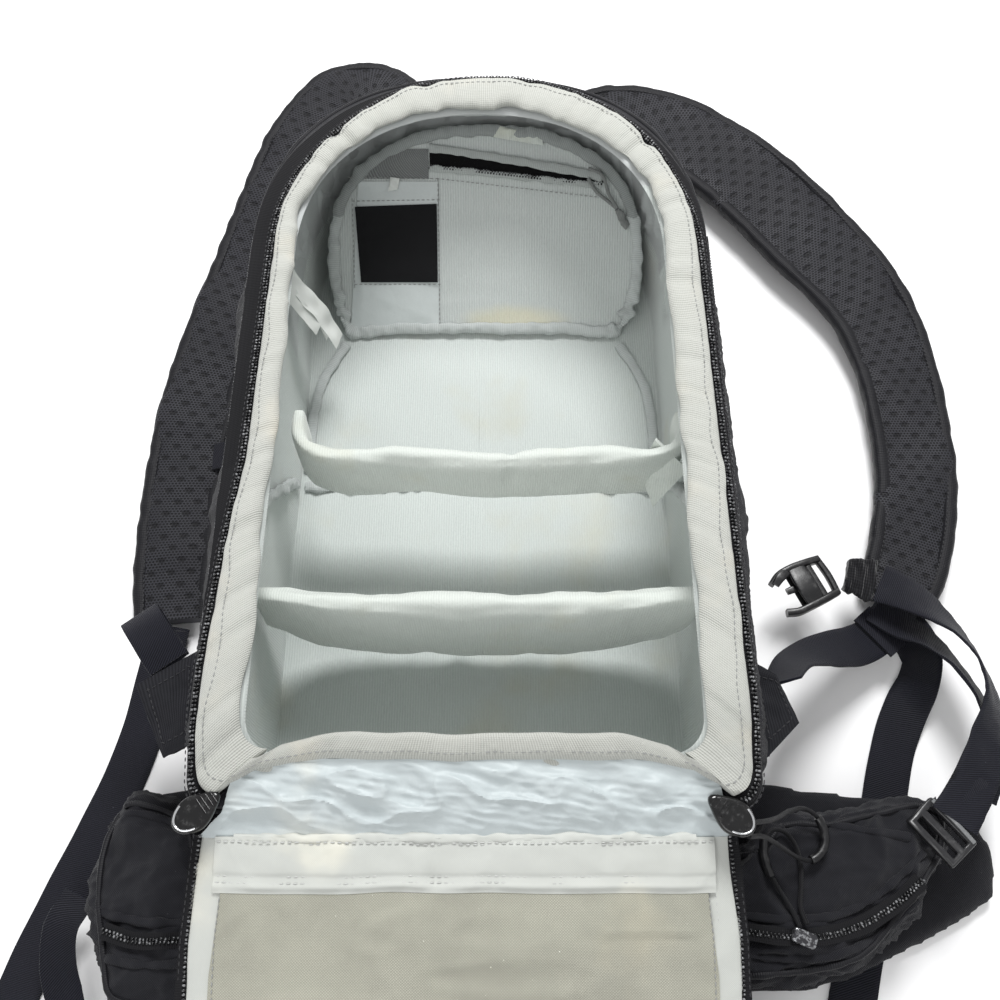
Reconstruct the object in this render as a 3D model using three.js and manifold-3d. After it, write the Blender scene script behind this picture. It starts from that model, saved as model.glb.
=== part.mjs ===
// Camera backpack lying on its harness, with the main lid unzipped and laid back.
// Millimetres. +Z is up, the back pad's lower face is on Z = 0, and +Y runs to the crown.
import * as THREE from 'three';
import Module from 'manifold-3d';

const wasm = await Module();
wasm.setup();
const { Manifold } = wasm;

// Clearances
const SEAT = 0.3; // between a piece and what it rests on
const TABLE = 0.4; // under webbing that lies on the table

// Padded body
const PAD_HEIGHT = 12;
const RIM_Z = 156;
const FLOOR_Z = 20;
const HALF_WIDTH = 146;
const SHOULDER_Y = 95;
const CORNER_R = 28;
const CROWN_POWER = 2.15; // squareness of the rim's crown arch, 2 is an ellipse
const BULGE_POWER = 3.2; // the same below the rim, where the shoulders fill out
const RIM_SAG = 26; // how far the rim drops at the hinge end
const SAG_START_Y = -195;
const SAG_RUN = 50;
const CORNER_LIFT = 0.5; // share of the sag that the two hinge corners don't take
const LINING_T = 2;
const LINING_GAP = 0.5; // between the padded wall and its lining

// Rim, floor and end panel
const TAPE_T = 3;
const BINDING_T = 8;
const SEAM_W = 5;
const SEAM_T = 2.4;
const END_PANEL = { foot: 119, rise: 93, run: 120, thick: 3 };
const TRANSVERSE_Y = -8;

// Lid
const HINGE = { y: -257, z: 128.5 };
const LID = { x: -5, halfWidth: 143, length: 452, thick: 14, tip: 150, tapeW: 9 };

// Dividers
const DIVIDER_UPPER = { y: -28, top: 130, height: 58, thick: 10, flap: 26, left: -112, right: 126.2 };
const DIVIDER_LOWER = { y: -122, top: 130, lift: 8, thick: 12, bow: 8 };

// Straps, webbing and cords
const STRAP_T = 11;
const WEB = { width: 28, thick: 1.6 };
const WING = { base: 3.3, thick: 8.4 };
const POUCH = { base: WING.base + WING.thick + SEAT, top: 59 };
const CORD_D = 2.6;
const LOCK = { length: 34, width: 21, thick: 5, slot: 27 };
const BUCKLE = { length: 42, width: 34, thick: 12, wall: 2.4 };
const KNOB = { length: 27, width: 18, thick: 4, seat: 1.8 };

// Levels of the body, bottom to top: half width, hinge end, crown end, share of the sag and
// share of the way from the rim's arch to the fuller one.
const OUTER = [
  { z: PAD_HEIGHT + SEAT, half: 0.9 * HALF_WIDTH, end: -232, crown: 232, sag: 0, full: 1 },
  { z: 17, half: 0.965 * HALF_WIDTH, end: -240, crown: 248, sag: 0, full: 1 },
  { z: 60, half: HALF_WIDTH, end: -246, crown: 264, sag: 0, full: 1 },
  { z: 112, half: 1.01 * HALF_WIDTH, end: -247, crown: 266, sag: 0.1, full: 1 },
  { z: 146, half: 1.005 * HALF_WIDTH, end: -246, crown: 255, sag: 0.85, full: 0.3 },
  { z: RIM_Z, half: 0.995 * HALF_WIDTH, end: -245, crown: 243, sag: 1, full: 0 },
];
const INNER = [
  { z: FLOOR_Z, half: 131, end: -236, crown: 242, sag: 0, full: 1 },
  { z: FLOOR_Z + 5, half: 133, end: -238, crown: 246, sag: 0, full: 1 },
  { z: 60, half: 135.5, end: -236, crown: 250, sag: 0, full: 1 },
  { z: 118, half: 135.5, end: -232, crown: 252, sag: 0.2, full: 1 },
  { z: 134, half: 134, end: -229, crown: 240, sag: 0.5, full: 0.75 },
  { z: 150, half: 121.5, end: -222, crown: 219, sag: 0.95, full: 0.15 },
  { z: RIM_Z, half: 119.8, end: -221, crown: 214.5, sag: 1, full: 0 },
];

const FLAT = [[-1, -1], [1, -1], [1, 1], [-1, 1]];
const PADDED = [
  [-1, -0.4], [-0.88, -1], [0.88, -1], [1, -0.4], [1, 0.4], [0.88, 1], [-0.88, 1], [-1, 0.4],
];
const ROUND = Array.from({ length: 8 }, (_, k) => [
  Math.cos((k * Math.PI) / 4),
  Math.sin((k * Math.PI) / 4),
]);

const FINISH = {
  black: { color: 0x2b2c30, roughness: 0.85 },
  webbing: { color: 0x17181d, roughness: 0.75 },
  mesh: { color: 0x202126, roughness: 0.9 },
  lining: { color: 0xb9beb9, roughness: 0.95 },
  nylon: { color: 0xc9d0cc, roughness: 0.6 },
  white: { color: 0xe2e6e2, roughness: 0.7 },
  binding: { color: 0xd9dad2, roughness: 0.85 },
  pocketMesh: { color: 0xb8b6a4, roughness: 0.9 },
  grey: { color: 0x6d6f70, roughness: 0.85 },
  plastic: { color: 0x141517, roughness: 0.35 },
  palePlastic: { color: 0x77797c, roughness: 0.4 },
};

const group = new THREE.Group();
group.name = 'camera_backpack';

const clamp01 = (v) => Math.min(1, Math.max(0, v));
const smooth = (v) => clamp01(v) ** 2 * (3 - 2 * clamp01(v));
const lerp = (a, b, t) => a + (b - a) * t;

/** Adds one named solid to a parent, at a place and turn if given. */
function add(name, geometry, finish, { parent = group, at = [0, 0, 0], turn = [0, 0, 0] } = {}) {
  const material = new THREE.MeshStandardMaterial({
    color: FINISH[finish].color,
    roughness: FINISH[finish].roughness,
    metalness: 0,
  });
  const mesh = new THREE.Mesh(geometry, material);
  mesh.name = name;
  mesh.position.set(...at);
  mesh.rotation.set(...turn);
  parent.add(mesh);
  return mesh;
}

/** Geometry from points and triangles, turned so that its faces look out. */
function solid(points, triangles) {
  let volume = 0;
  const cross = new THREE.Vector3();
  for (const [a, b, c] of triangles) {
    volume += points[a].dot(cross.crossVectors(points[b], points[c]));
  }
  const order = volume < 0 ? triangles.map(([a, b, c]) => [a, c, b]) : triangles;
  const geometry = new THREE.BufferGeometry();
  const coords = points.flatMap((p) => [p.x, p.y, p.z]);
  geometry.setAttribute('position', new THREE.Float32BufferAttribute(coords, 3));
  geometry.setIndex(order.flat());
  geometry.computeVertexNormals();
  return geometry;
}

/** Closed solid through rings of equal length; open ends are capped. */
function skin(rings, { loop = false } = {}) {
  const count = rings[0].length;
  const points = rings.flat();
  const triangles = [];
  const spans = loop ? rings.length : rings.length - 1;
  for (let k = 0; k < spans; k += 1) {
    const low = k * count;
    const high = ((k + 1) % rings.length) * count;
    for (let i = 0; i < count; i += 1) {
      const j = (i + 1) % count;
      const rising = points[low + i].distanceTo(points[high + j]);
      const falling = points[low + j].distanceTo(points[high + i]);
      if (rising <= falling) {
        triangles.push([low + i, low + j, high + j], [low + i, high + j, high + i]);
      } else {
        triangles.push([low + i, low + j, high + i], [low + j, high + j, high + i]);
      }
    }
  }
  if (!loop) {
    capRing(points, triangles, 0, count, true);
    capRing(points, triangles, (rings.length - 1) * count, count, false);
  }
  return solid(points, triangles);
}

/** Closes one end ring: a plain fan when it is small, a fan about its centre when large. */
function capRing(points, triangles, first, count, turned) {
  const push = (a, b, c) => triangles.push(turned ? [a, c, b] : [a, b, c]);
  if (count <= 8) {
    for (let i = 1; i < count - 1; i += 1) {
      push(first, first + i, first + i + 1);
    }
    return;
  }
  const hub = new THREE.Vector3();
  for (let i = 0; i < count; i += 1) {
    hub.addScaledVector(points[first + i], 1 / count);
  }
  points.push(hub);
  for (let i = 0; i < count; i += 1) {
    push(first + i, first + ((i + 1) % count), points.length - 1);
  }
}

/** Flat plate between two heights, with its corners cut back by `ease` at both faces. */
function plate(outline, low, high, ease = 0) {
  const shape = outline.map(([x, y]) => new THREE.Vector2(x, y));
  const centre = new THREE.Vector2();
  shape.forEach((p) => centre.addScaledVector(p, 1 / shape.length));
  const ring = (z, cut) =>
    shape.map((p) => {
      const out = p.clone().sub(centre);
      out.setLength(Math.max(0.1, out.length() - cut));
      return new THREE.Vector3(out.x + centre.x, out.y + centre.y, z);
    });
  const rings = ease
    ? [ring(low, ease), ring(low + ease, 0), ring(high - ease, 0), ring(high, ease)]
    : [ring(low, 0), ring(high, 0)];
  const points = rings.flat();
  const count = shape.length;
  const triangles = [];
  for (let k = 0; k < rings.length - 1; k += 1) {
    for (let i = 0; i < count; i += 1) {
      const j = (i + 1) % count;
      const low0 = k * count;
      const high0 = low0 + count;
      triangles.push([low0 + i, low0 + j, high0 + j], [low0 + i, high0 + j, high0 + i]);
    }
  }
  const faces = THREE.ShapeUtils.triangulateShape(shape, []);
  const top = (rings.length - 1) * count;
  const turned = THREE.ShapeUtils.area(shape) < 0;
  for (const [a, b, c] of faces) {
    const up = turned ? [a, c, b] : [a, b, c];
    triangles.push(turned ? [c, b, a].reverse() : [c, b, a]);
    triangles.push(up.map((v) => v + top));
  }
  return solid(points, fixWinding(points, triangles, count, rings.length));
}

/** Orders a plate's cap faces to agree with its side faces. */
function fixWinding(points, triangles, count, ringCount) {
  const sides = count * 2 * (ringCount - 1);
  const sideEdges = new Set();
  triangles.slice(0, sides).forEach(([a, b, c]) => {
    [[a, b], [b, c], [c, a]].forEach(([p, q]) => sideEdges.add(`${p}:${q}`));
  });
  const agree = (face) =>
    ![[0, 1], [1, 2], [2, 0]].some(([p, q]) => sideEdges.has(`${face[p]}:${face[q]}`));
  const caps = triangles.slice(sides);
  const lowOk = caps.filter((_, k) => k % 2 === 0).every(agree);
  const highOk = caps.filter((_, k) => k % 2 === 1).every(agree);
  const mended = caps.map((face, k) => {
    const ok = k % 2 === 0 ? lowOk : highOk;
    return ok ? face : [face[0], face[2], face[1]];
  });
  return triangles.slice(0, sides).concat(mended);
}

/** Columns of a station table at a share of its length. */
function columnAt(stations, share, loop, key, fallback) {
  const reach = loop ? stations.length : stations.length - 1;
  const place = clamp01(share) * reach;
  const low = Math.min(Math.floor(place), reach - 1);
  const next = (low + 1) % stations.length;
  const value = (k) => stations[k][key] ?? fallback;
  return lerp(value(low), value(next), place - low);
}

/** Sweeps a section along a table of stations: x, y, z and, where they change, width,
 *  thick and lean (degrees about the path). `side` fixes the direction of the width. */
function sweep(stations, { section = FLAT, steps = 24, width, thick, side, loop = false } = {}) {
  const places = stations.map(({ x, y, z }) => new THREE.Vector3(x, y, z));
  const curve = new THREE.CatmullRomCurve3(places, loop, 'centripetal');
  const rings = [];
  for (let k = 0; k < (loop ? steps : steps + 1); k += 1) {
    const share = k / steps;
    const at = curve.getPoint(share);
    const ahead = curve.getTangent(share);
    const across = side
      ? new THREE.Vector3(...side).normalize()
      : new THREE.Vector3().crossVectors(ahead, new THREE.Vector3(0, 0, 1));
    across.normalize();
    const lean = columnAt(stations, share, loop, 'lean', 0);
    across.applyAxisAngle(ahead, THREE.MathUtils.degToRad(lean));
    const normal = new THREE.Vector3().crossVectors(across, ahead).normalize();
    const halfW = columnAt(stations, share, loop, 'width', width) / 2;
    const halfT = columnAt(stations, share, loop, 'thick', thick) / 2;
    rings.push(
      section.map(([u, v]) =>
        at.clone().addScaledVector(across, u * halfW).addScaledVector(normal, v * halfT),
      ),
    );
  }
  return skin(rings, { loop });
}

/** Round cord along a table of [x, y, z] rows. */
function cord(rows, diameter, steps) {
  const stations = rows.map(([x, y, z]) => ({ x, y, z }));
  return sweep(stations, { section: ROUND, steps, width: diameter, thick: diameter });
}

/** Rim height: level at the sides, sagging toward the hinge, lifted at its two corners. */
function sagAt(x, y) {
  const drop = RIM_SAG * smooth((SAG_START_Y - y) / SAG_RUN);
  return drop * (1 - CORNER_LIFT * smooth((Math.abs(x) - 104) / 30));
}

// Walk of the body outline: crown, left side, corner, hinge end, corner, right side.
const WALK = { crown: 20, side: 5, corner: 5, end: 6 };
const LEFT_SIDE = WALK.crown;
const LEFT_CORNER = LEFT_SIDE + WALK.side;
const HINGE_END = LEFT_CORNER + WALK.corner;
const RIGHT_CORNER = HINGE_END + WALK.end;
const RIGHT_SIDE = RIGHT_CORNER + WALK.corner;
const WALK_COUNT = RIGHT_SIDE + WALK.side;

/** One outline of the body at a level, counter-clockwise from the right shoulder. */
function bodyRing(level) {
  const { half, end, crown, z, sag, full } = level;
  const ring = [];
  const put = (x, y) => ring.push(new THREE.Vector3(x, y, z - sag * sagAt(x, y)));
  const power = 2 / lerp(CROWN_POWER, BULGE_POWER, full);
  for (let k = 0; k < WALK.crown; k += 1) {
    const turn = (k / WALK.crown) * Math.PI;
    const c = Math.cos(turn);
    const s = Math.sin(turn);
    put(half * Math.sign(c) * Math.abs(c) ** power, SHOULDER_Y + (crown - SHOULDER_Y) * s ** power);
  }
  for (let k = 0; k < WALK.side; k += 1) {
    put(-half, lerp(SHOULDER_Y, end + CORNER_R, k / WALK.side));
  }
  for (let k = 0; k < WALK.corner; k += 1) {
    const turn = Math.PI + (k / WALK.corner) * (Math.PI / 2);
    put(-half + CORNER_R + CORNER_R * Math.cos(turn), end + CORNER_R + CORNER_R * Math.sin(turn));
  }
  for (let k = 0; k < WALK.end; k += 1) {
    put(lerp(-half + CORNER_R, half - CORNER_R, k / WALK.end), end);
  }
  for (let k = 0; k < WALK.corner; k += 1) {
    const turn = 1.5 * Math.PI + (k / WALK.corner) * (Math.PI / 2);
    put(half - CORNER_R + CORNER_R * Math.cos(turn), end + CORNER_R + CORNER_R * Math.sin(turn));
  }
  for (let k = 0; k < WALK.side; k += 1) {
    put(half, lerp(end + CORNER_R, SHOULDER_Y, k / WALK.side));
  }
  return ring;
}

/** The same level moved in by a distance, at a height of its own. */
function inset(level, distance, lift = 0) {
  return {
    z: level.z + lift,
    half: level.half - distance,
    end: level.end + distance,
    crown: level.crown - distance,
    sag: level.sag,
    full: level.full,
  };
}

/** Level of a table at any height. */
function levelAt(levels, z) {
  const high = Math.max(1, levels.findIndex((l) => l.z >= z));
  const a = levels[high - 1];
  const b = levels[high];
  const share = clamp01((z - a.z) / (b.z - a.z));
  const level = { z };
  for (const key of ['half', 'end', 'crown', 'sag', 'full']) {
    level[key] = lerp(a[key], b[key], share);
  }
  return level;
}

/** Half width of a level at a station along the bag. */
function halfAt(level, y) {
  if (y > SHOULDER_Y) {
    const rise = clamp01((y - SHOULDER_Y) / (level.crown - SHOULDER_Y));
    const power = lerp(CROWN_POWER, BULGE_POWER, level.full);
    return level.half * (1 - rise ** power) ** (1 / power);
  }
  const into = clamp01((level.end + CORNER_R - y) / CORNER_R);
  return level.half - CORNER_R * (1 - Math.sqrt(1 - into ** 2));
}

/** Half width of the room inside the lining. */
const roomHalf = (y, z) => halfAt(levelAt(INNER, z), y) - LINING_GAP - LINING_T;

// Padded shell and its lining
const innerDown = [...INNER].reverse();
add('body_shell', skin([...OUTER, ...innerDown].map(bodyRing)), 'black');
const liningLift = (k, lift) => (k === 0 ? lift : k === INNER.length - 1 ? -SEAT : 0);
const liningOut = INNER.map((l, k) => inset(l, LINING_GAP, liningLift(k, SEAT)));
const liningIn = INNER.map((l, k) =>
  inset(l, LINING_GAP + LINING_T, liningLift(k, SEAT + LINING_T)),
);
add('lining', skin([...liningOut, ...liningIn.reverse()].map(bodyRing)), 'lining');
const ROOM_Z = FLOOR_Z + SEAT + LINING_T + SEAT; // pieces on the lined floor start here

// Strips that lie on top of the padded wall
const wallOut = bodyRing(OUTER.at(-1));
const wallIn = bodyRing(INNER.at(-1));

/** Point on the wall's top face: place along the walk, share across it, height above it. */
function onWallTop(place, share, height) {
  const wrapped = ((place % WALK_COUNT) + WALK_COUNT) % WALK_COUNT;
  const low = Math.floor(wrapped);
  const next = (low + 1) % WALK_COUNT;
  const at = (ring) => ring[low].clone().lerp(ring[next], wrapped - low);
  const point = at(wallOut).lerp(at(wallIn), share);
  point.z += height;
  return point;
}

/** Strip along the wall top between two places; the profile holds share and height. */
function wallStrip(from, to, profile) {
  const places = [from];
  for (let place = Math.floor(from) + 1; place < to; place += 1) {
    places.push(place);
  }
  places.push(to);
  return skin(
    places.map((place) => profile.map(([share, height]) => onWallTop(place, share, height))),
  );
}

const WALL_SEAT = 1.5; // strips on the wall top, whose faces are slightly twisted
const bindingProfile = (low, high, base) => [
  [low, base],
  [high, base],
  [high + 0.03, base + 0.5 * BINDING_T],
  [lerp(low, high, 0.8), base + BINDING_T],
  [lerp(low, high, 0.2), base + BINDING_T],
  [low - 0.01, base + 0.5 * BINDING_T],
];
const tapeTop = WALL_SEAT + TAPE_T;
const tapeProfile = [[0.02, WALL_SEAT], [0.46, WALL_SEAT], [0.46, tapeTop], [0.02, tapeTop]];
const stripStart = RIGHT_CORNER + 1;
const stripEnd = WALK_COUNT + LEFT_CORNER + WALK.corner - 1;
add('rim_zip_tape', wallStrip(stripStart, stripEnd, tapeProfile), 'webbing');
const bindStart = RIGHT_CORNER + 2;
const bindEnd = WALK_COUNT + LEFT_CORNER + 3;
const sideProfile = bindingProfile(0.52, 0.99, WALL_SEAT);
add('rim_binding', wallStrip(bindStart, bindEnd, sideProfile), 'binding');
const sillStart = LEFT_CORNER + 3.06;
const sillEnd = RIGHT_CORNER + 1.94;
const sillProfile = bindingProfile(0.98, 1.4, 2.2);
add('hinge_binding', wallStrip(sillStart, sillEnd, sillProfile), 'binding');

// Back pads under the bag
const roundedBox = (halfX, lowY, highY, radius, corner = 4) => {
  const points = [];
  const centres = [
    [halfX - radius, highY - radius, 0],
    [-halfX + radius, highY - radius, 1],
    [-halfX + radius, lowY + radius, 2],
    [halfX - radius, lowY + radius, 3],
  ];
  for (const [x, y, quarter] of centres) {
    for (let k = 0; k <= corner; k += 1) {
      const turn = (quarter + k / corner) * (Math.PI / 2);
      points.push([x + radius * Math.cos(turn), y + radius * Math.sin(turn)]);
    }
  }
  return points;
};
add('back_pad', plate(roundedBox(92, -138, 176, 28), 0, PAD_HEIGHT, 3), 'mesh');
add('lumbar_pad', plate(roundedBox(102, -226, -146, 24), 0, PAD_HEIGHT, 3), 'mesh');

// Sloping end panel, in a frame that lies on its face
const endSlope = Math.atan2(END_PANEL.rise, END_PANEL.run);
const endFrame = new THREE.Group();
endFrame.name = 'end_panel_frame';
endFrame.position.set(0, END_PANEL.foot, ROOM_Z);
endFrame.rotation.x = endSlope;
group.add(endFrame);
const onEnd = { parent: endFrame };

// Distance up the slope, left and right half width of the panel.
const END_OUTLINE = [
  { up: 4.5, left: 104, right: 105 },
  { up: 29, left: 112, right: 116 },
  { up: 66, left: 115, right: 119 },
  { up: 100, left: 108, right: 112 },
  { up: 124, left: 92, right: 96 },
  { up: 141, left: 66, right: 70 },
  { up: 151, left: 36, right: 42 },
];
const endLeft = END_OUTLINE.map(({ up, left }) => [-left, up]);
const endRight = END_OUTLINE.map(({ up, right }) => [right, up]).reverse();
const endOutline = [...endLeft, [2, 154], ...endRight];
add('end_panel', plate(endOutline, -END_PANEL.thick, 0), 'lining', onEnd);
const footRow = [60, 0, -60].map((x) => [x, END_OUTLINE[0].up]);
const seamStations = [...endOutline, ...footRow].map(([x, y]) => ({
  x: lerp(2, x, 0.975),
  y: lerp(78, y, 0.96),
  z: SEAT + SEAM_T / 2,
}));
const seamForm = { steps: 46, width: SEAM_W + 1, thick: SEAM_T, loop: true };
add('end_panel_seam', sweep(seamStations, seamForm), 'nylon', onEnd);
const sheetLow = SEAT;
const box = (x0, x1, y0, y1) => [[x0, y0], [x1, y0], [x1, y1], [x0, y1]];
const pocketOutline = [[-98, 14], [-33, 14], [-33, 112], [-88, 112], [-98, 98]];
add('end_pocket', plate(pocketOutline, sheetLow, sheetLow + 1.6), 'nylon', onEnd);
const windowLow = sheetLow + 1.6 + SEAT;
add('mesh_window', plate(box(-92, -34, 42, 99), windowLow, windowLow + 1.2), 'webbing', onEnd);
add('end_zip', plate(box(-38, 74, 121, 131), sheetLow, sheetLow + 2), 'webbing', onEnd);
const pullRows = [
  [78, 124, 5], [88, 119, 7], [93, 106, 8], [99, 96, 7], [94, 100, 4.6], [84, 108, 4.2], [78, 117, 4.4],
];
add('inner_pull_cord', cord(pullRows, CORD_D, 14), 'grey', onEnd);
const knotTail = [[99.9, 94.9, 6.9], [104, 88, 5], [108, 83, 3.4]];
add('inner_pull_knot', cord(knotTail, 5.4, 4), 'grey', onEnd);

// Bound seams of the lining
const seamZ = ROOM_Z + SEAM_T / 2;
const seamSize = { width: SEAM_W, thick: SEAM_T };
for (const [name, dir] of [['floor_seam_left', -1], ['floor_seam_right', 1]]) {
  const stations = [
    { x: dir * 104, y: 112, z: seamZ },
    { x: dir * 112, y: 97, z: seamZ },
    { x: dir * 120, y: 78, z: seamZ },
    { x: dir * 124, y: 52, z: seamZ },
    { x: dir * 124, y: 4, z: seamZ },
  ];
  add(name, sweep(stations, { steps: 10, ...seamSize }), 'nylon');
}
const wallSeam = (dir) =>
  [
    { z: 34, y: TRANSVERSE_Y - 2 },
    { z: 60, y: TRANSVERSE_Y - 18 },
    { z: 96, y: TRANSVERSE_Y - 42 },
    { z: 136, y: TRANSVERSE_Y - 72 },
  ].map(({ z, y }) => ({ x: dir * (roomHalf(y, z) - 1 - SEAM_T / 2), y, z }));
for (const [name, dir] of [['wall_seam_left', -1], ['wall_seam_right', 1]]) {
  add(name, sweep(wallSeam(dir), { steps: 8, side: [0, 1, 0.6], ...seamSize }), 'nylon');
}
const crossSeam = [
  { x: -126, y: TRANSVERSE_Y, z: seamZ },
  { x: 0, y: TRANSVERSE_Y + 3, z: seamZ },
  { x: 126, y: TRANSVERSE_Y, z: seamZ },
];
add('cross_seam', sweep(crossSeam, { steps: 8, ...seamSize }), 'nylon');

// Two padded dividers
const upright = [0, 0, 1];
const upperMid = DIVIDER_UPPER.top - DIVIDER_UPPER.height / 2;
const upperStations = [
  { share: 0, out: 0, dy: DIVIDER_UPPER.flap, height: 0.7 },
  { share: 0, out: 0, dy: 8, height: 0.86 },
  { share: 0, out: 8, dy: -2, height: 1 },
  { share: 0.28, out: 0, dy: -6, height: 1 },
  { share: 0.52, out: 0, dy: -10, height: 1 },
  { share: 0.77, out: 0, dy: -6, height: 1 },
  { share: 1, out: -9, dy: -2, height: 1 },
  { share: 1, out: 0, dy: 8, height: 0.86 },
  { share: 1, out: 0, dy: DIVIDER_UPPER.flap, height: 0.7 },
].map(({ share, out, dy, height }) => ({
  x: lerp(DIVIDER_UPPER.left, DIVIDER_UPPER.right, share) + out,
  y: DIVIDER_UPPER.y + dy,
  z: upperMid + ((1 - height) * DIVIDER_UPPER.height) / 2,
  width: height * DIVIDER_UPPER.height,
}));
add(
  'divider_upper',
  sweep(upperStations, { section: PADDED, steps: 30, thick: DIVIDER_UPPER.thick, side: upright }),
  'lining',
);
const lowerReach = roomHalf(DIVIDER_LOWER.y, DIVIDER_LOWER.top) - 0.8;
const lowerHeight = DIVIDER_LOWER.top - ROOM_Z - DIVIDER_LOWER.lift;
const lowerStations = [
  { share: -1, bow: 0, height: 0.55 },
  { share: -0.86, bow: 0.3, height: 0.82 },
  { share: -0.5, bow: 0.8, height: 0.97 },
  { share: 0, bow: 1, height: 1 },
  { share: 0.5, bow: 0.8, height: 0.97 },
  { share: 0.86, bow: 0.3, height: 0.82 },
  { share: 1, bow: 0, height: 0.55 },
].map(({ share, bow, height }) => ({
  x: share * lowerReach,
  y: DIVIDER_LOWER.y - bow * DIVIDER_LOWER.bow,
  z: DIVIDER_LOWER.top - (height * lowerHeight) / 2,
  width: height * lowerHeight,
}));
add(
  'divider_lower',
  sweep(lowerStations, { section: PADDED, steps: 20, thick: DIVIDER_LOWER.thick, side: upright }),
  'lining',
);
const tagStations = [
  { x: -129, y: 97, z: 127 },
  { x: -122, y: 95, z: 113 },
  { x: -111, y: 88, z: 94 },
  { x: -102, y: 80, z: 72 },
];
const tagSize = { width: 13, thick: 0.9, side: [0.3, 0.95, 0] };
add('care_tag', sweep(tagStations, { steps: 6, ...tagSize }), 'white');

// Gathered hinge strip and the laid-back lid, in a frame on the lid's inner face
const hingeStations = [
  { x: 0, y: -222.4, z: 149, width: 2 * (HALF_WIDTH - 40) },
  { x: 0, y: -235, z: 145, width: 2 * (HALF_WIDTH - 40) },
  { x: 0, y: -247, z: 138.6, width: 2 * (HALF_WIDTH - 40) },
  { x: LID.x, y: HINGE.y + 0.2, z: HINGE.z + 1.1, width: 2 * (HALF_WIDTH - 23) },
];
const hingeForm = { steps: 6, thick: 1.4, side: [1, 0, 0] };
add('hinge_strip', sweep(hingeStations, hingeForm), 'white');
const lidDrop = HINGE.z - LID.thick - 0.6;
const lidFrame = new THREE.Group();
lidFrame.name = 'lid_frame';
lidFrame.position.set(LID.x, HINGE.y, HINGE.z);
lidFrame.rotation.x = Math.asin(lidDrop / LID.length);
group.add(lidFrame);
const onLid = { parent: lidFrame };

/** Lid outline from the hinge's right end round the tip to its left end, moved in by a margin. */
function lidOutline(margin, start = 0, tipSteps = 16) {
  const half = LID.halfWidth - margin;
  const tipY = -LID.length + margin;
  const archY = -LID.length + LID.tip;
  const points = [[half - 4, -start], [half, -start - 40]];
  for (let k = 0; k <= tipSteps; k += 1) {
    const turn = (k / tipSteps) * Math.PI;
    const c = Math.cos(turn);
    const s = Math.sin(turn);
    const power = 2 / CROWN_POWER;
    points.push([
      half * Math.sign(c) * Math.abs(c) ** power,
      archY + (tipY - archY) * s ** power,
    ]);
  }
  points.push([-half, -start - 40], [-half + 4, -start]);
  return points;
}
const lidRing = (margin, z) => lidOutline(margin).map(([x, y]) => new THREE.Vector3(x, y, z));
const lidLevels = [[12, -LID.thick], [1, -0.7 * LID.thick], [0, -0.3 * LID.thick], [2, 0]];
add('lid_panel', skin(lidLevels.map(([margin, z]) => lidRing(margin, z))), 'black', onLid);
const lidEdge = lidOutline(6).map(([x, y]) => ({ x, y, z: SEAT + 1.2 }));
add('lid_zip_tape', sweep(lidEdge, { steps: 44, width: LID.tapeW, thick: 2.4 }), 'webbing', onLid);
add('lid_lining', plate(lidOutline(11), SEAT, SEAT + 1.5), 'white', onLid);
const lidSheet = SEAT + 1.5 + SEAT;
add('lid_band', plate(box(-127, 127, -25, -1), lidSheet, lidSheet + 1.8), 'white', onLid);
add('lid_mesh_pocket', plate(lidOutline(14, 27), lidSheet, lidSheet + 1.6), 'pocketMesh', onLid);

// Side pockets bulging out of the walls, and the closed zips above them
const POCKET = { low: 28, high: 130, zipZ: 140 };
const LEFT_BULGE = [
  { y: -228, bulge: 3 }, { y: -205, bulge: 14 }, { y: -150, bulge: 14 }, { y: -99, bulge: 15 },
  { y: -62, bulge: 19 }, { y: -31, bulge: 14 }, { y: 2, bulge: 8 }, { y: 40, bulge: 14 },
  { y: 92, bulge: 19 }, { y: 120, bulge: 10 }, { y: 136, bulge: 3 },
];
const RIGHT_BULGE = [
  { y: -236, bulge: 4 }, { y: -214, bulge: 15 }, { y: -160, bulge: 13 }, { y: -92, bulge: 15 },
  { y: -64, bulge: 18 }, { y: -30, bulge: 15 }, { y: 29, bulge: 13 }, { y: 77, bulge: 13 },
  { y: 112, bulge: 8 }, { y: 130, bulge: 3 },
];

/** Pocket that follows the wall inside and swells outside. */
function sidePocket(dir, rows) {
  const heights = [0, 0.33, 0.66, 1];
  const rings = rows.map(({ y, bulge }) => {
    const face = (share, out) => {
      const z = lerp(POCKET.low, POCKET.high, share);
      const level = levelAt(OUTER, z);
      const half = y > SHOULDER_Y ? halfAt(level, y) : level.half;
      return new THREE.Vector3(dir * (half + out), y, z);
    };
    const inside = heights.map((share) => face(share, SEAT + 0.3));
    const outside = [0.97, 0.72, 0.4, 0.06].map((share, k) =>
      face(share, SEAT + 0.3 + [0.45, 1, 1, 0.4][k] * bulge),
    );
    return [...inside, ...outside];
  });
  return skin(rings);
}
add('side_pocket_left', sidePocket(-1, LEFT_BULGE), 'black');
add('side_pocket_right', sidePocket(1, RIGHT_BULGE), 'black');
for (const [name, dir] of [['side_zip_left', -1], ['side_zip_right', 1]]) {
  const stations = [-182, -120, -50, 20, 90, 116].map((y) => ({
    x: dir * (halfAt(levelAt(OUTER, POCKET.zipZ), y) + SEAT + 1.2),
    y,
    z: POCKET.zipZ,
  }));
  add(name, sweep(stations, { steps: 12, width: 8, thick: 2, side: upright }), 'webbing');
}

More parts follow.
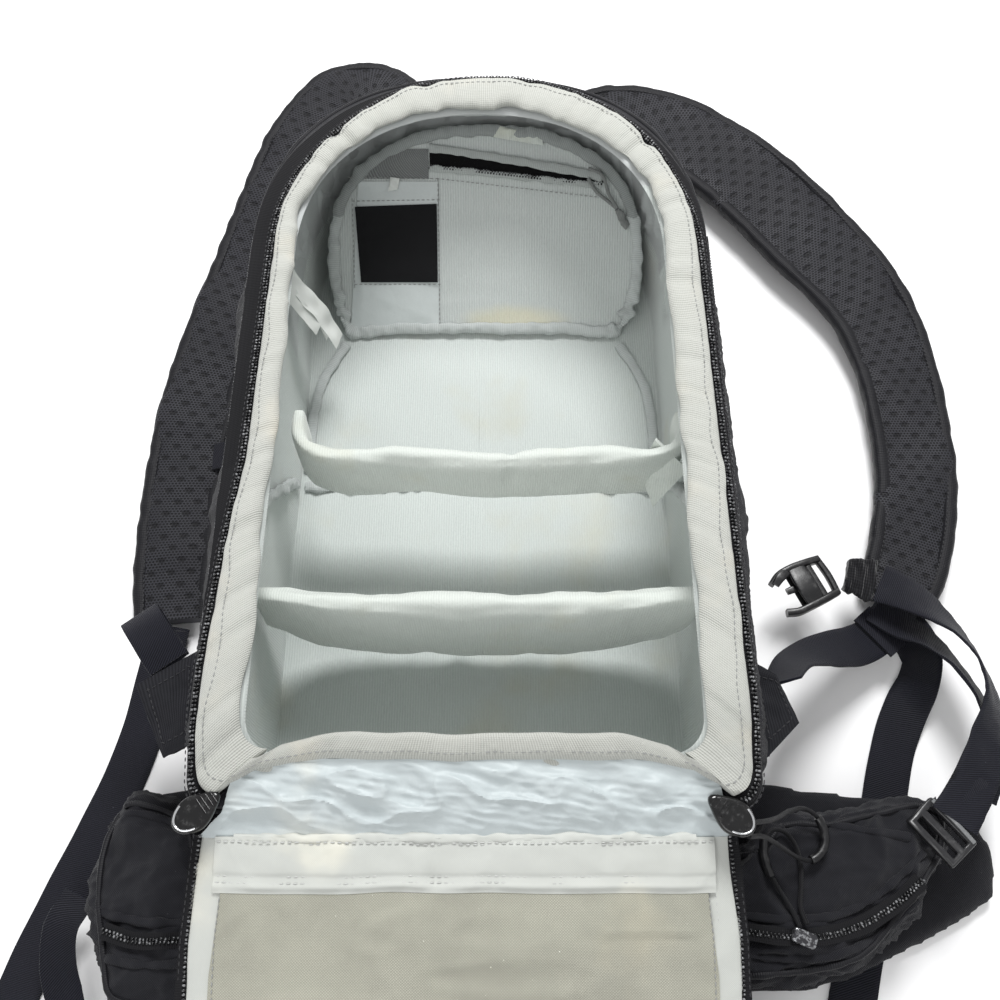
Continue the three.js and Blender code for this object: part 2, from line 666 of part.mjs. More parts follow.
// Shoulder straps, wearer side up: centre, height and width along each strap
const LEFT_STRAP = [
  { x: -38, y: 200, z: 6, width: 52 }, { x: -44, y: 262, z: 7.5, width: 54 },
  { x: -52, y: 316, z: 12, width: 54 }, { x: -67, y: 357, z: 17, width: 50 },
  { x: -94, y: 384, z: 21, width: 46 }, { x: -125, y: 378, z: 22, width: 52 },
  { x: -144, y: 345, z: 21, width: 62 }, { x: -156, y: 309, z: 19, width: 68 },
  { x: -166, y: 270, z: 17, width: 68 },
  { x: -178, y: 226, z: 14, width: 66 }, { x: -190, y: 180, z: 12, width: 62 },
  { x: -202, y: 136, z: 11, width: 58 }, { x: -213, y: 84, z: 10, width: 56 },
  { x: -217, y: 30, z: 10, width: 55 }, { x: -217, y: -22, z: 10, width: 55 },
  { x: -215, y: -65, z: 10, width: 54 }, { x: -212, y: -104, z: 10, width: 50 },
];
const RIGHT_STRAP = [
  { x: 38, y: 200, z: 6, width: 52 }, { x: 46, y: 258, z: 7.5, width: 56 },
  { x: 66, y: 316, z: 13, width: 66 }, { x: 106, y: 347, z: 18, width: 74 },
  { x: 152, y: 338, z: 20, width: 76 }, { x: 186, y: 313, z: 21, width: 78 },
  { x: 217, y: 281, z: 22, width: 80 }, { x: 245, y: 244, z: 22, width: 81 },
  { x: 267, y: 211, z: 21, width: 79 }, { x: 288, y: 180, z: 20, width: 74 },
  { x: 306, y: 141, z: 18, width: 66 }, { x: 315, y: 95, z: 16, width: 60 },
  { x: 317, y: 39, z: 15, width: 57 }, { x: 314, y: -4, z: 14, width: 56 },
  { x: 305, y: -40, z: 14, width: 55 }, { x: 294, y: -70, z: 14, width: 53 },
  { x: 284, y: -90, z: 14, width: 48 },
];
const strapForm = { section: PADDED, thick: STRAP_T };
add('shoulder_strap_left', sweep(LEFT_STRAP, { steps: 38, ...strapForm }), 'mesh');
add('shoulder_strap_right', sweep(RIGHT_STRAP, { steps: 38, ...strapForm }), 'mesh');

// Webbing: lean turns it about its own path
const onTable = TABLE + WEB.thick / 2;
const STRAP_WEB_LEFT = [
  { x: -213, y: -107.4, z: 9.2 }, { x: -218, y: -140, z: 4.6 }, { x: -223, y: -175, z: 2 },
  { x: -230, y: -205, z: onTable }, { x: -243, y: -243, z: onTable },
  { x: -256, y: -278, z: onTable }, { x: -269, y: -314, z: onTable },
  { x: -283, y: -360, z: onTable },
];
const STRAP_WEB_RIGHT = [
  { x: 179, y: -166, z: 84, lean: -60 }, { x: 193, y: -150, z: 68, lean: -48 },
  { x: 211, y: -139, z: 51, lean: -30 }, { x: 230, y: -132, z: 38, lean: -14 },
  { x: 248, y: -126, z: 26, lean: -4 }, { x: 263, y: -118, z: 21.6, lean: 0 },
  { x: 279, y: -102, z: 20.9, lean: 0 }, { x: 286, y: -88, z: 20.8, lean: 0 },
];
const STRAP_TAIL_RIGHT = [
  { x: 290, y: -100, z: 5.2, lean: 0 }, { x: 295, y: -116, z: 8.5, lean: 22 },
  { x: 295.5, y: -131, z: 14, lean: 50 }, { x: 291, y: -147, z: 12, lean: 40 },
  { x: 283, y: -163, z: 4.6, lean: 10 }, { x: 274, y: -182, z: onTable, lean: 0 },
  { x: 266, y: -203, z: onTable, lean: 0 }, { x: 256, y: -234, z: onTable, lean: 0 },
  { x: 238, y: -290, z: onTable, lean: 0 }, { x: 212, y: -370, z: onTable, lean: 0 },
];
const BELT_WEB_TOP = [
  { x: 275, y: -242, z: 65.6, lean: 0 }, { x: 291, y: -220, z: 66, lean: 8 },
  { x: 306, y: -196, z: 63, lean: 18 }, { x: 316, y: -170, z: 58, lean: 30 },
  { x: 316, y: -146, z: 53, lean: 36 }, { x: 308, y: -124, z: 48, lean: 30 },
  { x: 294, y: -106, z: 44, lean: 18 }, { x: 278, y: -93, z: 41, lean: 6 },
  { x: 265.75, y: -86.6, z: 38.55, lean: 0 },
];
const BELT_WEB_BACK = [
  { x: 264, y: -100, z: 27.4, lean: 0 }, { x: 278, y: -112, z: 29.4, lean: -8 },
  { x: 293, y: -125, z: 36, lean: -20 }, { x: 306, y: -143, z: 40, lean: -32 },
  { x: 315, y: -167, z: 45, lean: -32 }, { x: 315, y: -190, z: 50, lean: -20 },
  { x: 307, y: -210, z: 53, lean: -10 }, { x: 297, y: -226, z: 55, lean: -4 },
];
const BELT_WEB_LEFT = [
  { x: -233, y: -366, z: 8, lean: 0 }, { x: -240, y: -340, z: 12, lean: 10 },
  { x: -247, y: -316, z: 18, lean: 22 }, { x: -246, y: -296, z: 24, lean: 26 },
  { x: -236.2, y: -280, z: 28, lean: 20 },
];
const webbing = (rows, steps, width = WEB.width) => sweep(rows, { steps, width, thick: WEB.thick });
add('strap_webbing_left', webbing(STRAP_WEB_LEFT, 18), 'webbing');
add('strap_webbing_right', webbing(STRAP_WEB_RIGHT, 14), 'webbing');
add('strap_tail_right', webbing(STRAP_TAIL_RIGHT, 26), 'webbing');
add('belt_webbing_top', webbing(BELT_WEB_TOP, 24), 'webbing');
add('belt_webbing_back', webbing(BELT_WEB_BACK, 22, 22), 'webbing');
add('belt_webbing_left', webbing(BELT_WEB_LEFT, 14, 20), 'webbing');
const linkRows = [{ x: -196, y: 19, z: 16.8 }, { x: -176, y: 19, z: 27 }, { x: -155, y: 19, z: 46 }];
add('side_link_left', sweep(linkRows, { steps: 6, width: 21, thick: 2, side: [0, 1, 0] }), 'webbing');
const keeperRows = [{ x: 256, y: -103, z: 24.5 }, { x: 277, y: -128, z: 23.9 }];
const keeperForm = { section: PADDED, steps: 2, width: 15, thick: 2.4 };
add('strap_keeper', sweep(keeperRows, keeperForm), 'webbing');

// Folded webbing loop and the sewn tabs that carry the webbing at both sides
const loopDir = new THREE.Vector2(-23, 31).normalize();
const loopWidth = [31, 23, 0];
const LOOP_ROWS = [
  { out: 0, z: 98.6 }, { out: 16, z: 103 }, { out: 30, z: 102.6 }, { out: 37, z: 98 },
  { out: 31, z: 92.6 }, { out: 16, z: 91.6 }, { out: 0, z: 95.4 },
];
const loopStations = LOOP_ROWS.map(({ out, z }) => ({
  x: -179.5 + out * loopDir.x,
  y: -158.2 + out * loopDir.y,
  z,
}));
add(
  'webbing_loop',
  sweep(loopStations, { steps: 18, width: WEB.width, thick: WEB.thick, side: loopWidth }),
  'webbing',
);
const leftTab = [[-197, -171], [-162, -149], [-162, -205], [-176, -212]];
add('side_tab_left', plate(leftTab, 95.4, 98.6), 'black');
const rightTab = [[161.1, -156], [174, -164], [184, -192], [163, -212]];
add('side_tab_right', plate(rightTab, 92, 95.2), 'black');

// Hip belt wings with their pouches
const RIGHT_WING = [
  [108, -170], [160, -206], [230, -216], [290, -222], [315, -238], [323, -254], [318, -282],
  [299, -293], [262, -311], [225, -327], [190, -335], [150, -335], [108, -300],
];
const LEFT_WING = [
  [-108, -170], [-160, -206], [-205, -216], [-228, -232], [-233, -270], [-229, -300],
  [-222, -330], [-210, -362], [-160, -370], [-108, -340],
];
const wingTop = WING.base + WING.thick;
add('belt_wing_right', plate(RIGHT_WING, WING.base, wingTop, 2), 'black');
add('belt_wing_left', plate(LEFT_WING, WING.base, wingTop, 2), 'black');
const RIGHT_POUCH = [
  [170, -234], [205, -229], [242, -226], [272, -224], [284, -230], [284, -250], [266, -278],
  [243, -306], [224, -321], [205, -329], [150, -332], [114, -328], [114, -264], [150, -254],
];
const LEFT_POUCH = [
  [-214, -220], [-192, -220], [-170, -229], [-150, -254], [-114, -264], [-114, -340],
  [-150, -350], [-204, -346], [-216, -322], [-224, -300], [-230, -270], [-226, -238],
];

/** Pouch that swells over its wing and is eased at the top edge. */
function pouch(outline) {
  const centre = new THREE.Vector2();
  outline.forEach(([x, y]) => centre.add(new THREE.Vector2(x, y).divideScalar(outline.length)));
  const rows = [[5, POUCH.base], [0, 26], [0, 46], [4, 55], [13, POUCH.top]];
  const rings = rows.map(([cut, z]) =>
    outline.map(([x, y]) => {
      const out = new THREE.Vector2(x, y).sub(centre);
      out.setLength(out.length() - cut);
      return new THREE.Vector3(out.x + centre.x, out.y + centre.y, z);
    }),
  );
  return skin(rings);
}
add('belt_pouch_right', pouch(RIGHT_POUCH), 'black');
add('belt_pouch_left', pouch(LEFT_POUCH), 'black');
const zipZ = POUCH.top + SEAT + 1;
const RIGHT_ZIP = [[146, -300], [172, -303], [192, -303], [215, -297], [236, -286], [252, -274]];
const LEFT_ZIP = [[-208, -300], [-190, -305], [-168, -305], [-146, -302]];
for (const [name, rows] of [['pouch_zip_right', RIGHT_ZIP], ['pouch_zip_left', LEFT_ZIP]]) {
  const stations = rows.map(([x, y]) => ({ x, y, z: zipZ }));
  add(name, sweep(stations, { steps: 14, width: 8, thick: 2 }), 'webbing');
}
add('pouch_slider', plate(roundedBox(7, -4, 4, 2, 2), 0, 4, 0.8), 'palePlastic', {
  at: [181, -308.9 + 5, zipZ + 1 + SEAT],
  turn: [0, 0, -0.4],
});

// Hardware cut from solid blocks
function fromManifold(body) {
  const { vertProperties, triVerts, numProp } = body.getMesh();
  const points = [];
  for (let k = 0; k < vertProperties.length; k += numProp) {
    points.push(new THREE.Vector3(...vertProperties.slice(k, k + 3)));
  }
  const triangles = [];
  for (let k = 0; k < triVerts.length; k += 3) {
    triangles.push([triVerts[k], triVerts[k + 1], triVerts[k + 2]]);
  }
  return solid(points, triangles);
}
const block = (size, at) => Manifold.cube(size, true).translate(at);

function ladderLock() {
  const { length, width, thick, slot } = LOCK;
  const frame = block([length, width, thick], [0, 0, 0]);
  const low = block([slot, 4.4, 3 * thick], [0, -0.2 * width, 0]);
  const high = block([slot, 4.4, 3 * thick], [0, 0.22 * width, 0]);
  return fromManifold(frame.subtract(low).subtract(high));
}
add('ladder_lock', ladderLock(), 'palePlastic', {
  at: [267.5, -248, POUCH.top + SEAT + LOCK.thick / 2],
  turn: [0, 0, -0.88],
});

function buckleHalf() {
  const { length, width, thick, wall } = BUCKLE;
  const taper = Manifold.hull([
    block([2, width, thick], [-length / 2 + 1, 0, 0]),
    block([12, width + 3, thick], [0, 0, 0]),
    block([8, 0.86 * width, 0.7 * thick], [length / 2 - 4, 0, 0]),
  ]);
  const mouth = block([0.6 * length, width - 2 * wall - 3, thick - 2 * wall], [-0.3 * length, 0, 0]);
  const window = Manifold.cylinder(4 * thick, 0.13 * width, 0.13 * width, 16, true);
  const sideCut = block([0.3 * length, 8, 0.5 * thick], [-0.02 * length, width / 2 + 1, 0]);
  const slot = block([4, 0.72 * width, 4 * thick], [0.4 * length, 0, 0]);
  return fromManifold(
    taper
      .subtract(mouth)
      .subtract(window.translate([-0.12 * length, 0, 0]))
      .subtract(sideCut)
      .subtract(sideCut.mirror([0, 1, 0]))
      .subtract(slot),
  );
}
add('buckle_half', buckleHalf(), 'plastic', { at: [216, -88, 37], turn: [0, 0, 0.42] });
const wrapRows = [{ x: 244.8, y: -80.2, z: 37.5, width: 24 }, { x: 263, y: -85.4, z: 38.4, width: 31 }];
add('elastic_keeper', sweep(wrapRows, { section: PADDED, steps: 2, thick: 6 }), 'black');

/** Teardrop grip of a main zip slider. */
function knob() {
  const points = [];
  for (let k = 0; k <= 12; k += 1) {
    const turn = Math.PI / 2 + (k / 12) * Math.PI;
    points.push([(KNOB.width / 2) * Math.cos(turn), (KNOB.width / 2) * Math.sin(turn)]);
  }
  points.push([0.5 * KNOB.length, -0.36 * KNOB.width]);
  points.push([0.66 * KNOB.length, -0.3 * KNOB.width]);
  points.push([0.66 * KNOB.length, 0.3 * KNOB.width]);
  points.push([0.5 * KNOB.length, 0.36 * KNOB.width]);
  return plate(points, 0, KNOB.thick, 1);
}
const knobZ = onWallTop(LEFT_CORNER + 3.4, 0.1, tapeTop + SEAT).z + KNOB.seat;
add('slider_knob_left', knob(), 'plastic', { at: [8 - HALF_WIDTH, -248, knobZ], turn: [0, 0, 0.7] });
const rightKnob = { at: [HALF_WIDTH - 17.6, -249.2, knobZ - 1.9], turn: [0, 0, 2.45] };
add('slider_knob_right', knob(), 'plastic', rightKnob);

// Pull cords at the right
const MAIN_PULL = [
  [HALF_WIDTH - 9.1, -253.4, 147.5], [148, -251, 135], [161, -246.2, 110],
  [176.8, -238.5, 82], [189, -236, 69],
  [196.6, -240.6, 65.5], [199.2, -251.1, 65], [195.8, -259.2, 65], [189, -263.5, 65],
  [181.5, -262.5, 69], [164.2, -257.5, 92], [148, -257.5, 127], [HALF_WIDTH - 9, -259.5, 144.2],
];
add('main_pull_cord', cord(MAIN_PULL, CORD_D, 34), 'webbing');
const POUCH_PULL = [
  [178.5, -298, 66.5], [176.4, -290, 62.4], [170.4, -278.6, 61.8], [165.4, -268, 62], [163.9, -257.8, 62.4],
  [165.8, -250.6, 62.6], [170.5, -246.6, 62.6], [176.7, -247.6, 62.4], [182.2, -254, 61.8],
  [184.4, -264, 61.4], [183.4, -276, 61.4], [181.4, -288, 62], [182.6, -297, 66.5],
];
add('pouch_pull_cord', cord(POUCH_PULL, CORD_D, 28), 'webbing');

export default group;
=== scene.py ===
"""Camera backpack lying open on its harness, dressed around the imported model.

The outlines and tables repeat those of the solids, in millimetres. Each mesh is made in
its place in the shared frame and kept in metres.
"""

import logging
import math
from dataclasses import dataclass, field, replace
from enum import Enum

import bmesh
import bpy
import numpy as np
from mathutils import Matrix, Vector
from mathutils.bvhtree import BVHTree


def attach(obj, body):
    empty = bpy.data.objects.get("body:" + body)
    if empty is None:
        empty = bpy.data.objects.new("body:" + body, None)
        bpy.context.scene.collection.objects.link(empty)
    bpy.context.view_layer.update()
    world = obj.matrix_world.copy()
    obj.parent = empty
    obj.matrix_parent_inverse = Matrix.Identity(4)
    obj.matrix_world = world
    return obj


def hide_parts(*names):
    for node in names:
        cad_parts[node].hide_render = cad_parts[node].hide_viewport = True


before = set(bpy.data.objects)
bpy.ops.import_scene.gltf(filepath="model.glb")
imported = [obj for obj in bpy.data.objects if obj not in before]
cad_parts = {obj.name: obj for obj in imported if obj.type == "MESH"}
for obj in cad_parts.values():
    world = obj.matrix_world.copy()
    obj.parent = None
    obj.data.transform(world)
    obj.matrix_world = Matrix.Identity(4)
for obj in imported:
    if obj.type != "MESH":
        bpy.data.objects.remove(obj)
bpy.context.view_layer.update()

LOG = logging.getLogger("backpack")
MM = 0.001
Table = dict[str, np.ndarray]
Lines = list[tuple[np.ndarray, np.ndarray]]
Vec = tuple[float, float, float]
UP: Vec = (0.0, 0.0, 1.0)


def table(columns: str, *rows: tuple[float, ...]) -> Table:
    """Columns of a short table by name.

    Args:
        columns: the names, split by spaces.
        rows: one tuple of numbers a row.

    Returns:
        The columns as arrays.
    """
    return dict(zip(columns.split(), np.array(rows, float).T))


def rows_of(points: np.ndarray) -> Table:
    """Table of a path from its points."""
    return dict(zip("xyz", points.T))


def points_of(rows: Table) -> np.ndarray:
    """Points of a path from its table."""
    return np.stack([rows[k] for k in "xyz"], axis=1)


def ups(count: int) -> np.ndarray:
    """The upward direction, once for each of count points."""
    return np.tile(UP, (count, 1))


def smooth(value: np.ndarray | float) -> np.ndarray | float:
    """Soft step from 0 to 1."""
    value = np.clip(value, 0, 1)
    return value * value * (3 - 2 * value)


def lerp(a: np.ndarray | float, b: np.ndarray | float, t: np.ndarray | float) -> np.ndarray:
    """Value between a and b."""
    return a + (b - a) * t


def unit(vectors: np.ndarray) -> np.ndarray:
    """Vectors of length one."""
    return vectors / np.maximum(np.linalg.norm(vectors, axis=-1, keepdims=True), 1e-9)


class Route:
    """Centripetal curve through points, as the solids' own sweeps follow it."""

    def __init__(self, points: np.ndarray, loop: bool = False) -> None:
        """Keeps the points and their neighbours past both ends.

        Args:
            points: n rows of x, y, z.
            loop: whether the last point joins the first.
        """
        self.count = len(points)
        self.reach = self.count if loop else self.count - 1
        if loop:
            self.near = np.vstack([points[-1], points, points[:2]])
        else:
            head = 2 * points[0] - points[1]
            tail = 2 * points[-1] - points[-2]
            self.near = np.vstack([head, points, tail])

    def at(self, share: np.ndarray) -> np.ndarray:
        """Points at shares of the spans.

        Args:
            share: numbers from 0 to 1.

        Returns:
            One row of x, y, z for each.
        """
        place = np.clip(share, 0, 1) * self.reach
        low = np.clip(np.floor(place).astype(int), 0, self.reach - 1)
        w = (place - low)[:, None]
        p0, p1, p2, p3 = (self.near[low + k] for k in range(4))
        d0, d1, d2 = (
            np.sqrt(np.linalg.norm(b - a, axis=1))[:, None]
            for a, b in ((p0, p1), (p1, p2), (p2, p3))
        )
        d1 = np.where(d1 < 1e-4, 1, d1)
        d0 = np.where(d0 < 1e-4, d1, d0)
        d2 = np.where(d2 < 1e-4, d1, d2)
        t1 = ((p1 - p0) / d0 - (p2 - p0) / (d0 + d1) + (p2 - p1) / d1) * d1
        t2 = ((p2 - p1) / d1 - (p3 - p1) / (d1 + d2) + (p3 - p2) / d2) * d1
        c2 = -3 * p1 + 3 * p2 - 2 * t1 - t2
        c3 = 2 * p1 - 2 * p2 + t1 + t2
        return p1 + t1 * w + c2 * w**2 + c3 * w**3

    def even(self, count: int) -> np.ndarray:
        """Shares that lie evenly along the curve's length.

        Args:
            count: how many.

        Returns:
            The shares.
        """
        fine = np.linspace(0, 1, 1200)
        points = self.at(fine)
        run = np.concatenate([[0], np.cumsum(np.linalg.norm(np.diff(points, axis=0), axis=1))])
        return np.interp(np.linspace(0, run[-1], count), run, fine)


@dataclass
class Sweep:
    """A path with a width and a thickness that may change along it.

    The table has x, y, z and, where they change, width, thick and lean in degrees.
    """

    rows: Table
    width: float = 0.0
    thick: float = 0.0
    side: Vec | None = None
    loop: bool = False
    matrix: Matrix | None = None

    def column(self, name: str, share: np.ndarray, fallback: float) -> np.ndarray:
        """Values of one column along the path.

        Args:
            name: the column.
            share: places along it.
            fallback: the value where the table has no such column.

        Returns:
            One number for each place.
        """
        if name not in self.rows:
            return np.full(len(share), fallback)
        values = self.rows[name]
        if self.loop:
            values = np.append(values, values[0])
        return np.interp(share * (len(values) - 1), np.arange(len(values)), values)

    def frames(self, count: int) -> dict[str, np.ndarray]:
        """Centre, directions and half sizes at even places.

        Args:
            count: how many places.

        Returns:
            Arrays named at, ahead, across, normal, half, deep and run.
        """
        points = points_of(self.rows)
        route = Route(points, self.loop)
        share = route.even(count + 1)[:-1] if self.loop else route.even(count)
        at = route.at(share)
        ahead = unit(route.at(np.clip(share + 1e-4, 0, 1)) - route.at(np.clip(share - 1e-4, 0, 1)))
        if self.side is None:
            across = unit(np.cross(ahead, UP))
        else:
            across = np.tile(unit(np.array(self.side, float)), (len(share), 1))
        lean = np.radians(self.column("lean", share, 0.0))[:, None]
        across = (
            across * np.cos(lean)
            + np.cross(ahead, across) * np.sin(lean)
            + ahead * np.sum(ahead * across, axis=1, keepdims=True) * (1 - np.cos(lean))
        )
        normal = unit(np.cross(across, ahead))
        if self.matrix is not None:
            turn = np.array(self.matrix.to_3x3())
            at = at @ turn.T + np.array(self.matrix.translation)
            ahead, across, normal = (v @ turn.T for v in (ahead, across, normal))
        step = np.linalg.norm(np.diff(at, axis=0), axis=1)
        return {
            "at": at, "ahead": ahead, "across": across, "normal": normal,
            "half": self.column("width", share, self.width)[:, None] / 2,
            "deep": self.column("thick", share, self.thick)[:, None] / 2,
            "run": np.concatenate([[0], np.cumsum(step)]),
        }

    def rings(self, section: np.ndarray, count: int) -> np.ndarray:
        """Section outlines along the path.

        Args:
            section: m rows of shares of the half width and the half thickness.
            count: how many rings.

        Returns:
            An array of count by m points.
        """
        f = self.frames(count)
        u, v = section[:, 0][None, :, None], section[:, 1][None, :, None]
        wide = f["across"][:, None, :] * (f["half"][:, None, :] * u)
        deep = f["normal"][:, None, :] * (f["deep"][:, None, :] * v)
        return f["at"][:, None, :] + wide + deep

    def line(self, across: float, above: float, count: int) -> tuple[np.ndarray, np.ndarray]:
        """A line on the swept form and the direction out of it.

        Args:
            across: share of the half width.
            above: distance over the half thickness, in millimetres.
            count: how many points.

        Returns:
            The points and the outward directions.
        """
        f = self.frames(count)
        lift = np.sign(above or 1) * f["deep"] + above
        points = f["at"] + f["across"] * f["half"] * across + f["normal"] * lift
        return points, f["normal"] * np.sign(above or 1)


def oval(power: float, count: int) -> np.ndarray:
    """Rounded section between a circle (2) and a box.

    Args:
        power: squareness.
        count: points round it.

    Returns:
        Shares of the half width and thickness.
    """
    turn = np.linspace(0, 2 * np.pi, count, endpoint=False)
    c, s = np.cos(turn), np.sin(turn)
    return np.stack(
        [np.sign(c) * np.abs(c) ** (2 / power), np.sign(s) * np.abs(s) ** (2 / power)], axis=1
    )


def strip_section(count: int) -> np.ndarray:
    """Thin flat section with rounded edges, wide faces split into columns.

    Args:
        count: columns on each wide face.

    Returns:
        Shares of the half width and thickness.
    """
    lip = 0.02
    top = [(u, 1.0) for u in np.linspace(1 - lip, -1 + lip, count)]
    low = [(u, -1.0) for u in np.linspace(-1 + lip, 1 - lip, count)]
    return np.array([*top, (-1, 0.45), (-1, -0.45), *low, (1, -0.45), (1, 0.45)])


@dataclass(frozen=True)
class Ripple:
    """Smooth random field over space, the same on each run.

    depth is in millimetres, scale is the size of a fold, stretch pulls folds along axes,
    and crease turns soft waves into narrow folds.
    """

    seed: int
    scale: float
    depth: float
    stretch: Vec = (1.0, 1.0, 1.0)
    crease: float = 0.0
    waves: int = 20

    def __call__(self, points: np.ndarray) -> np.ndarray:
        """Heights at points.

        Args:
            points: rows of x, y, z in millimetres.

        Returns:
            One height for each, in millimetres.
        """
        rng = np.random.default_rng(self.seed)
        axes = unit(rng.normal(size=(self.waves, 3)))
        rate = 2 * np.pi / self.scale * rng.uniform(0.5, 1.5, self.waves)
        phase = rng.uniform(0, 2 * np.pi, self.waves)
        flat = points.reshape(-1, 3) / np.array(self.stretch)
        total = np.sin(flat @ (axes * rate[:, None]).T + phase).sum(axis=1)
        total *= math.sqrt(2 / self.waves) / 1.6
        sharp = 1 - 2.2 * np.sqrt(np.abs(total) + 0.01)
        return (lerp(total, sharp, self.crease) * self.depth).reshape(points.shape[:-1])


class Maker:
    """Turns arrays of points into objects that ride on the bag."""

    @staticmethod
    def mesh(
        name: str, points: np.ndarray, faces: list[tuple[int, ...]] | np.ndarray,
        uvs: np.ndarray | None = None, sharp: float = 50.0,
    ) -> bpy.types.Object:
        """Makes one object.

        Args:
            name: the piece's name.
            points: rows of x, y, z in millimetres.
            faces: corner numbers of each face.
            uvs: one row for each face corner, in metres along the cloth.
            sharp: angle in degrees past which an edge is shaded sharp.

        Returns:
            The object, linked to the scene.
        """
        data = bpy.data.meshes.new(name)
        data.from_pydata((np.asarray(points) * MM).tolist(), [], [tuple(f) for f in faces])
        if uvs is not None:
            layer = data.uv_layers.new(name="Weave")
            layer.data.foreach_set("uv", np.asarray(uvs, np.float32).ravel())
        data.validate()
        data.update()
        data.shade_smooth()
        data.set_sharp_from_angle(angle=math.radians(sharp))
        made = bpy.data.objects.new(name, data)
        bpy.context.scene.collection.objects.link(made)
        return made

    @staticmethod
    def skin(
        name: str, rings: np.ndarray, loop: bool = False, sharp: float = 50.0,
    ) -> bpy.types.Object:
        """Quads through closed rings of points, with a map in metres along and across.

        Args:
            name: the piece's name.
            rings: an array of rings by points by 3, in millimetres.
            loop: whether the last ring joins the first.
            sharp: angle in degrees past which an edge is shaded sharp.

        Returns:
            The object.
        """
        count, width = rings.shape[:2]
        spans = count if loop else count - 1
        i = np.repeat(np.arange(spans), width)
        j = np.tile(np.arange(width), spans)
        ii, jj = (i + 1) % count, (j + 1) % width
        faces = np.stack([i * width + j, i * width + jj, ii * width + jj, ii * width + j], axis=1)
        across = np.linalg.norm(np.diff(rings, axis=1, append=rings[:, :1]), axis=2)
        around = np.concatenate([[0], np.cumsum(across.mean(axis=0))]) * MM
        ahead = np.linalg.norm(np.diff(rings, axis=0, append=rings[:1]), axis=2)
        along = np.concatenate([[0], np.cumsum(ahead.mean(axis=1))]) * MM
        u = np.stack([around[j], around[j + 1], around[j + 1], around[j]], axis=1)
        v = np.stack([along[i], along[i], along[i + 1], along[i + 1]], axis=1)
        uvs = np.stack([u, v], axis=2).reshape(-1, 2)
        listed = [tuple(f) for f in faces.tolist()]
        points = rings.reshape(-1, 3)
        if not loop:
            for first, turned in ((0, True), ((count - 1) * width, False)):
                corners = list(range(first, first + width))
                listed.append(tuple(reversed(corners)) if turned else tuple(corners))
                uvs = np.vstack([uvs, np.zeros((width, 2))])
        if Maker.volume(points, faces) < 0:
            order = np.concatenate(
                [np.arange(k, k + len(f))[::-1] for k, f in zip(Maker.starts(listed), listed)]
            )
            listed = [tuple(reversed(f)) for f in listed]
            uvs = uvs[order]
        return Maker.mesh(name, points, listed, uvs, sharp)

    @staticmethod
    def starts(faces: list[tuple[int, ...]]) -> np.ndarray:
        """Number of the first corner of each face."""
        sizes = np.array([len(f) for f in faces])
        return np.concatenate([[0], np.cumsum(sizes)[:-1]])

    @staticmethod
    def volume(points: np.ndarray, quads: np.ndarray) -> float:
        """Signed volume within quads.

        Args:
            points: rows of x, y, z.
            quads: corner numbers of each face.

        Returns:
            The volume, below zero where the faces look inward.
        """
        middle = points.mean(axis=0)
        a, b, c, d = (points[quads[:, k]] - middle for k in range(4))
        first = np.einsum("ij,ij->i", a, np.cross(b, c)).sum()
        return float(first + np.einsum("ij,ij->i", a, np.cross(c, d)).sum())

    @staticmethod
    def sheet(name: str, grid: np.ndarray, thick: float) -> bpy.types.Object:
        """Thin closed cloth from a grid of points.

        Args:
            name: the piece's name.
            grid: rows by columns of points on its upper face.
            thick: thickness in millimetres, below that face.

        Returns:
            The object.
        """
        right = np.gradient(grid, axis=1)
        ahead = np.gradient(grid, axis=0)
        normal = unit(np.cross(right, ahead))
        low = grid - normal * thick
        ring = np.concatenate([grid, low[:, ::-1]], axis=1)
        return Maker.skin(name, ring, sharp=60.0)

    @staticmethod
    def copy(node: str, name: str) -> bpy.types.Object:
        """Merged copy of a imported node, free to change.

        Args:
            node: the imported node's name.
            name: the copy's name.

        Returns:
            The new object.
        """
        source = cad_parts[node]
        data = source.data.copy()
        data.name = name
        data.materials.clear()
        bm = bmesh.new()
        bm.from_mesh(data)
        bmesh.ops.remove_doubles(bm, verts=bm.verts, dist=2e-5)
        bmesh.ops.recalc_face_normals(bm, faces=bm.faces)
        bm.to_mesh(data)
        bm.free()
        data.update()
        made = bpy.data.objects.new(name, data)
        bpy.context.scene.collection.objects.link(made)
        return made

    @staticmethod
    def bake(target: bpy.types.Object) -> bpy.types.Object:
        """Replaces the object's mesh by its evaluated one and drops the modifiers.

        Args:
            target: the object.

        Returns:
            The same object.
        """
        graph = bpy.context.evaluated_depsgraph_get()
        graph.update()
        data = bpy.data.meshes.new_from_object(target.evaluated_get(graph), depsgraph=graph)
        old = target.data
        target.modifiers.clear()
        target.data = data
        bpy.data.meshes.remove(old)
        data.name = target.name
        return target

    @staticmethod
    def points(target: bpy.types.Object) -> np.ndarray:
        """The object's points.

        Args:
            target: the object.

        Returns:
            Rows of x, y, z in millimetres.
        """
        flat = np.zeros(len(target.data.vertices) * 3, np.float32)
        target.data.vertices.foreach_get("co", flat)
        return flat.reshape(-1, 3).astype(float) / MM

    @staticmethod
    def normals(target: bpy.types.Object) -> np.ndarray:
        """The object's point normals.

        Args:
            target: the object.

        Returns:
            Rows of x, y, z.
        """
        flat = np.zeros(len(target.data.vertices) * 3, np.float32)
        target.data.vertices.foreach_get("normal", flat)
        return flat.reshape(-1, 3).astype(float)

    @staticmethod
    def move(target: bpy.types.Object, points: np.ndarray) -> None:
        """Sets the object's points, given in millimetres."""
        target.data.vertices.foreach_set("co", (points * MM).astype(np.float32).ravel())
        target.data.update()

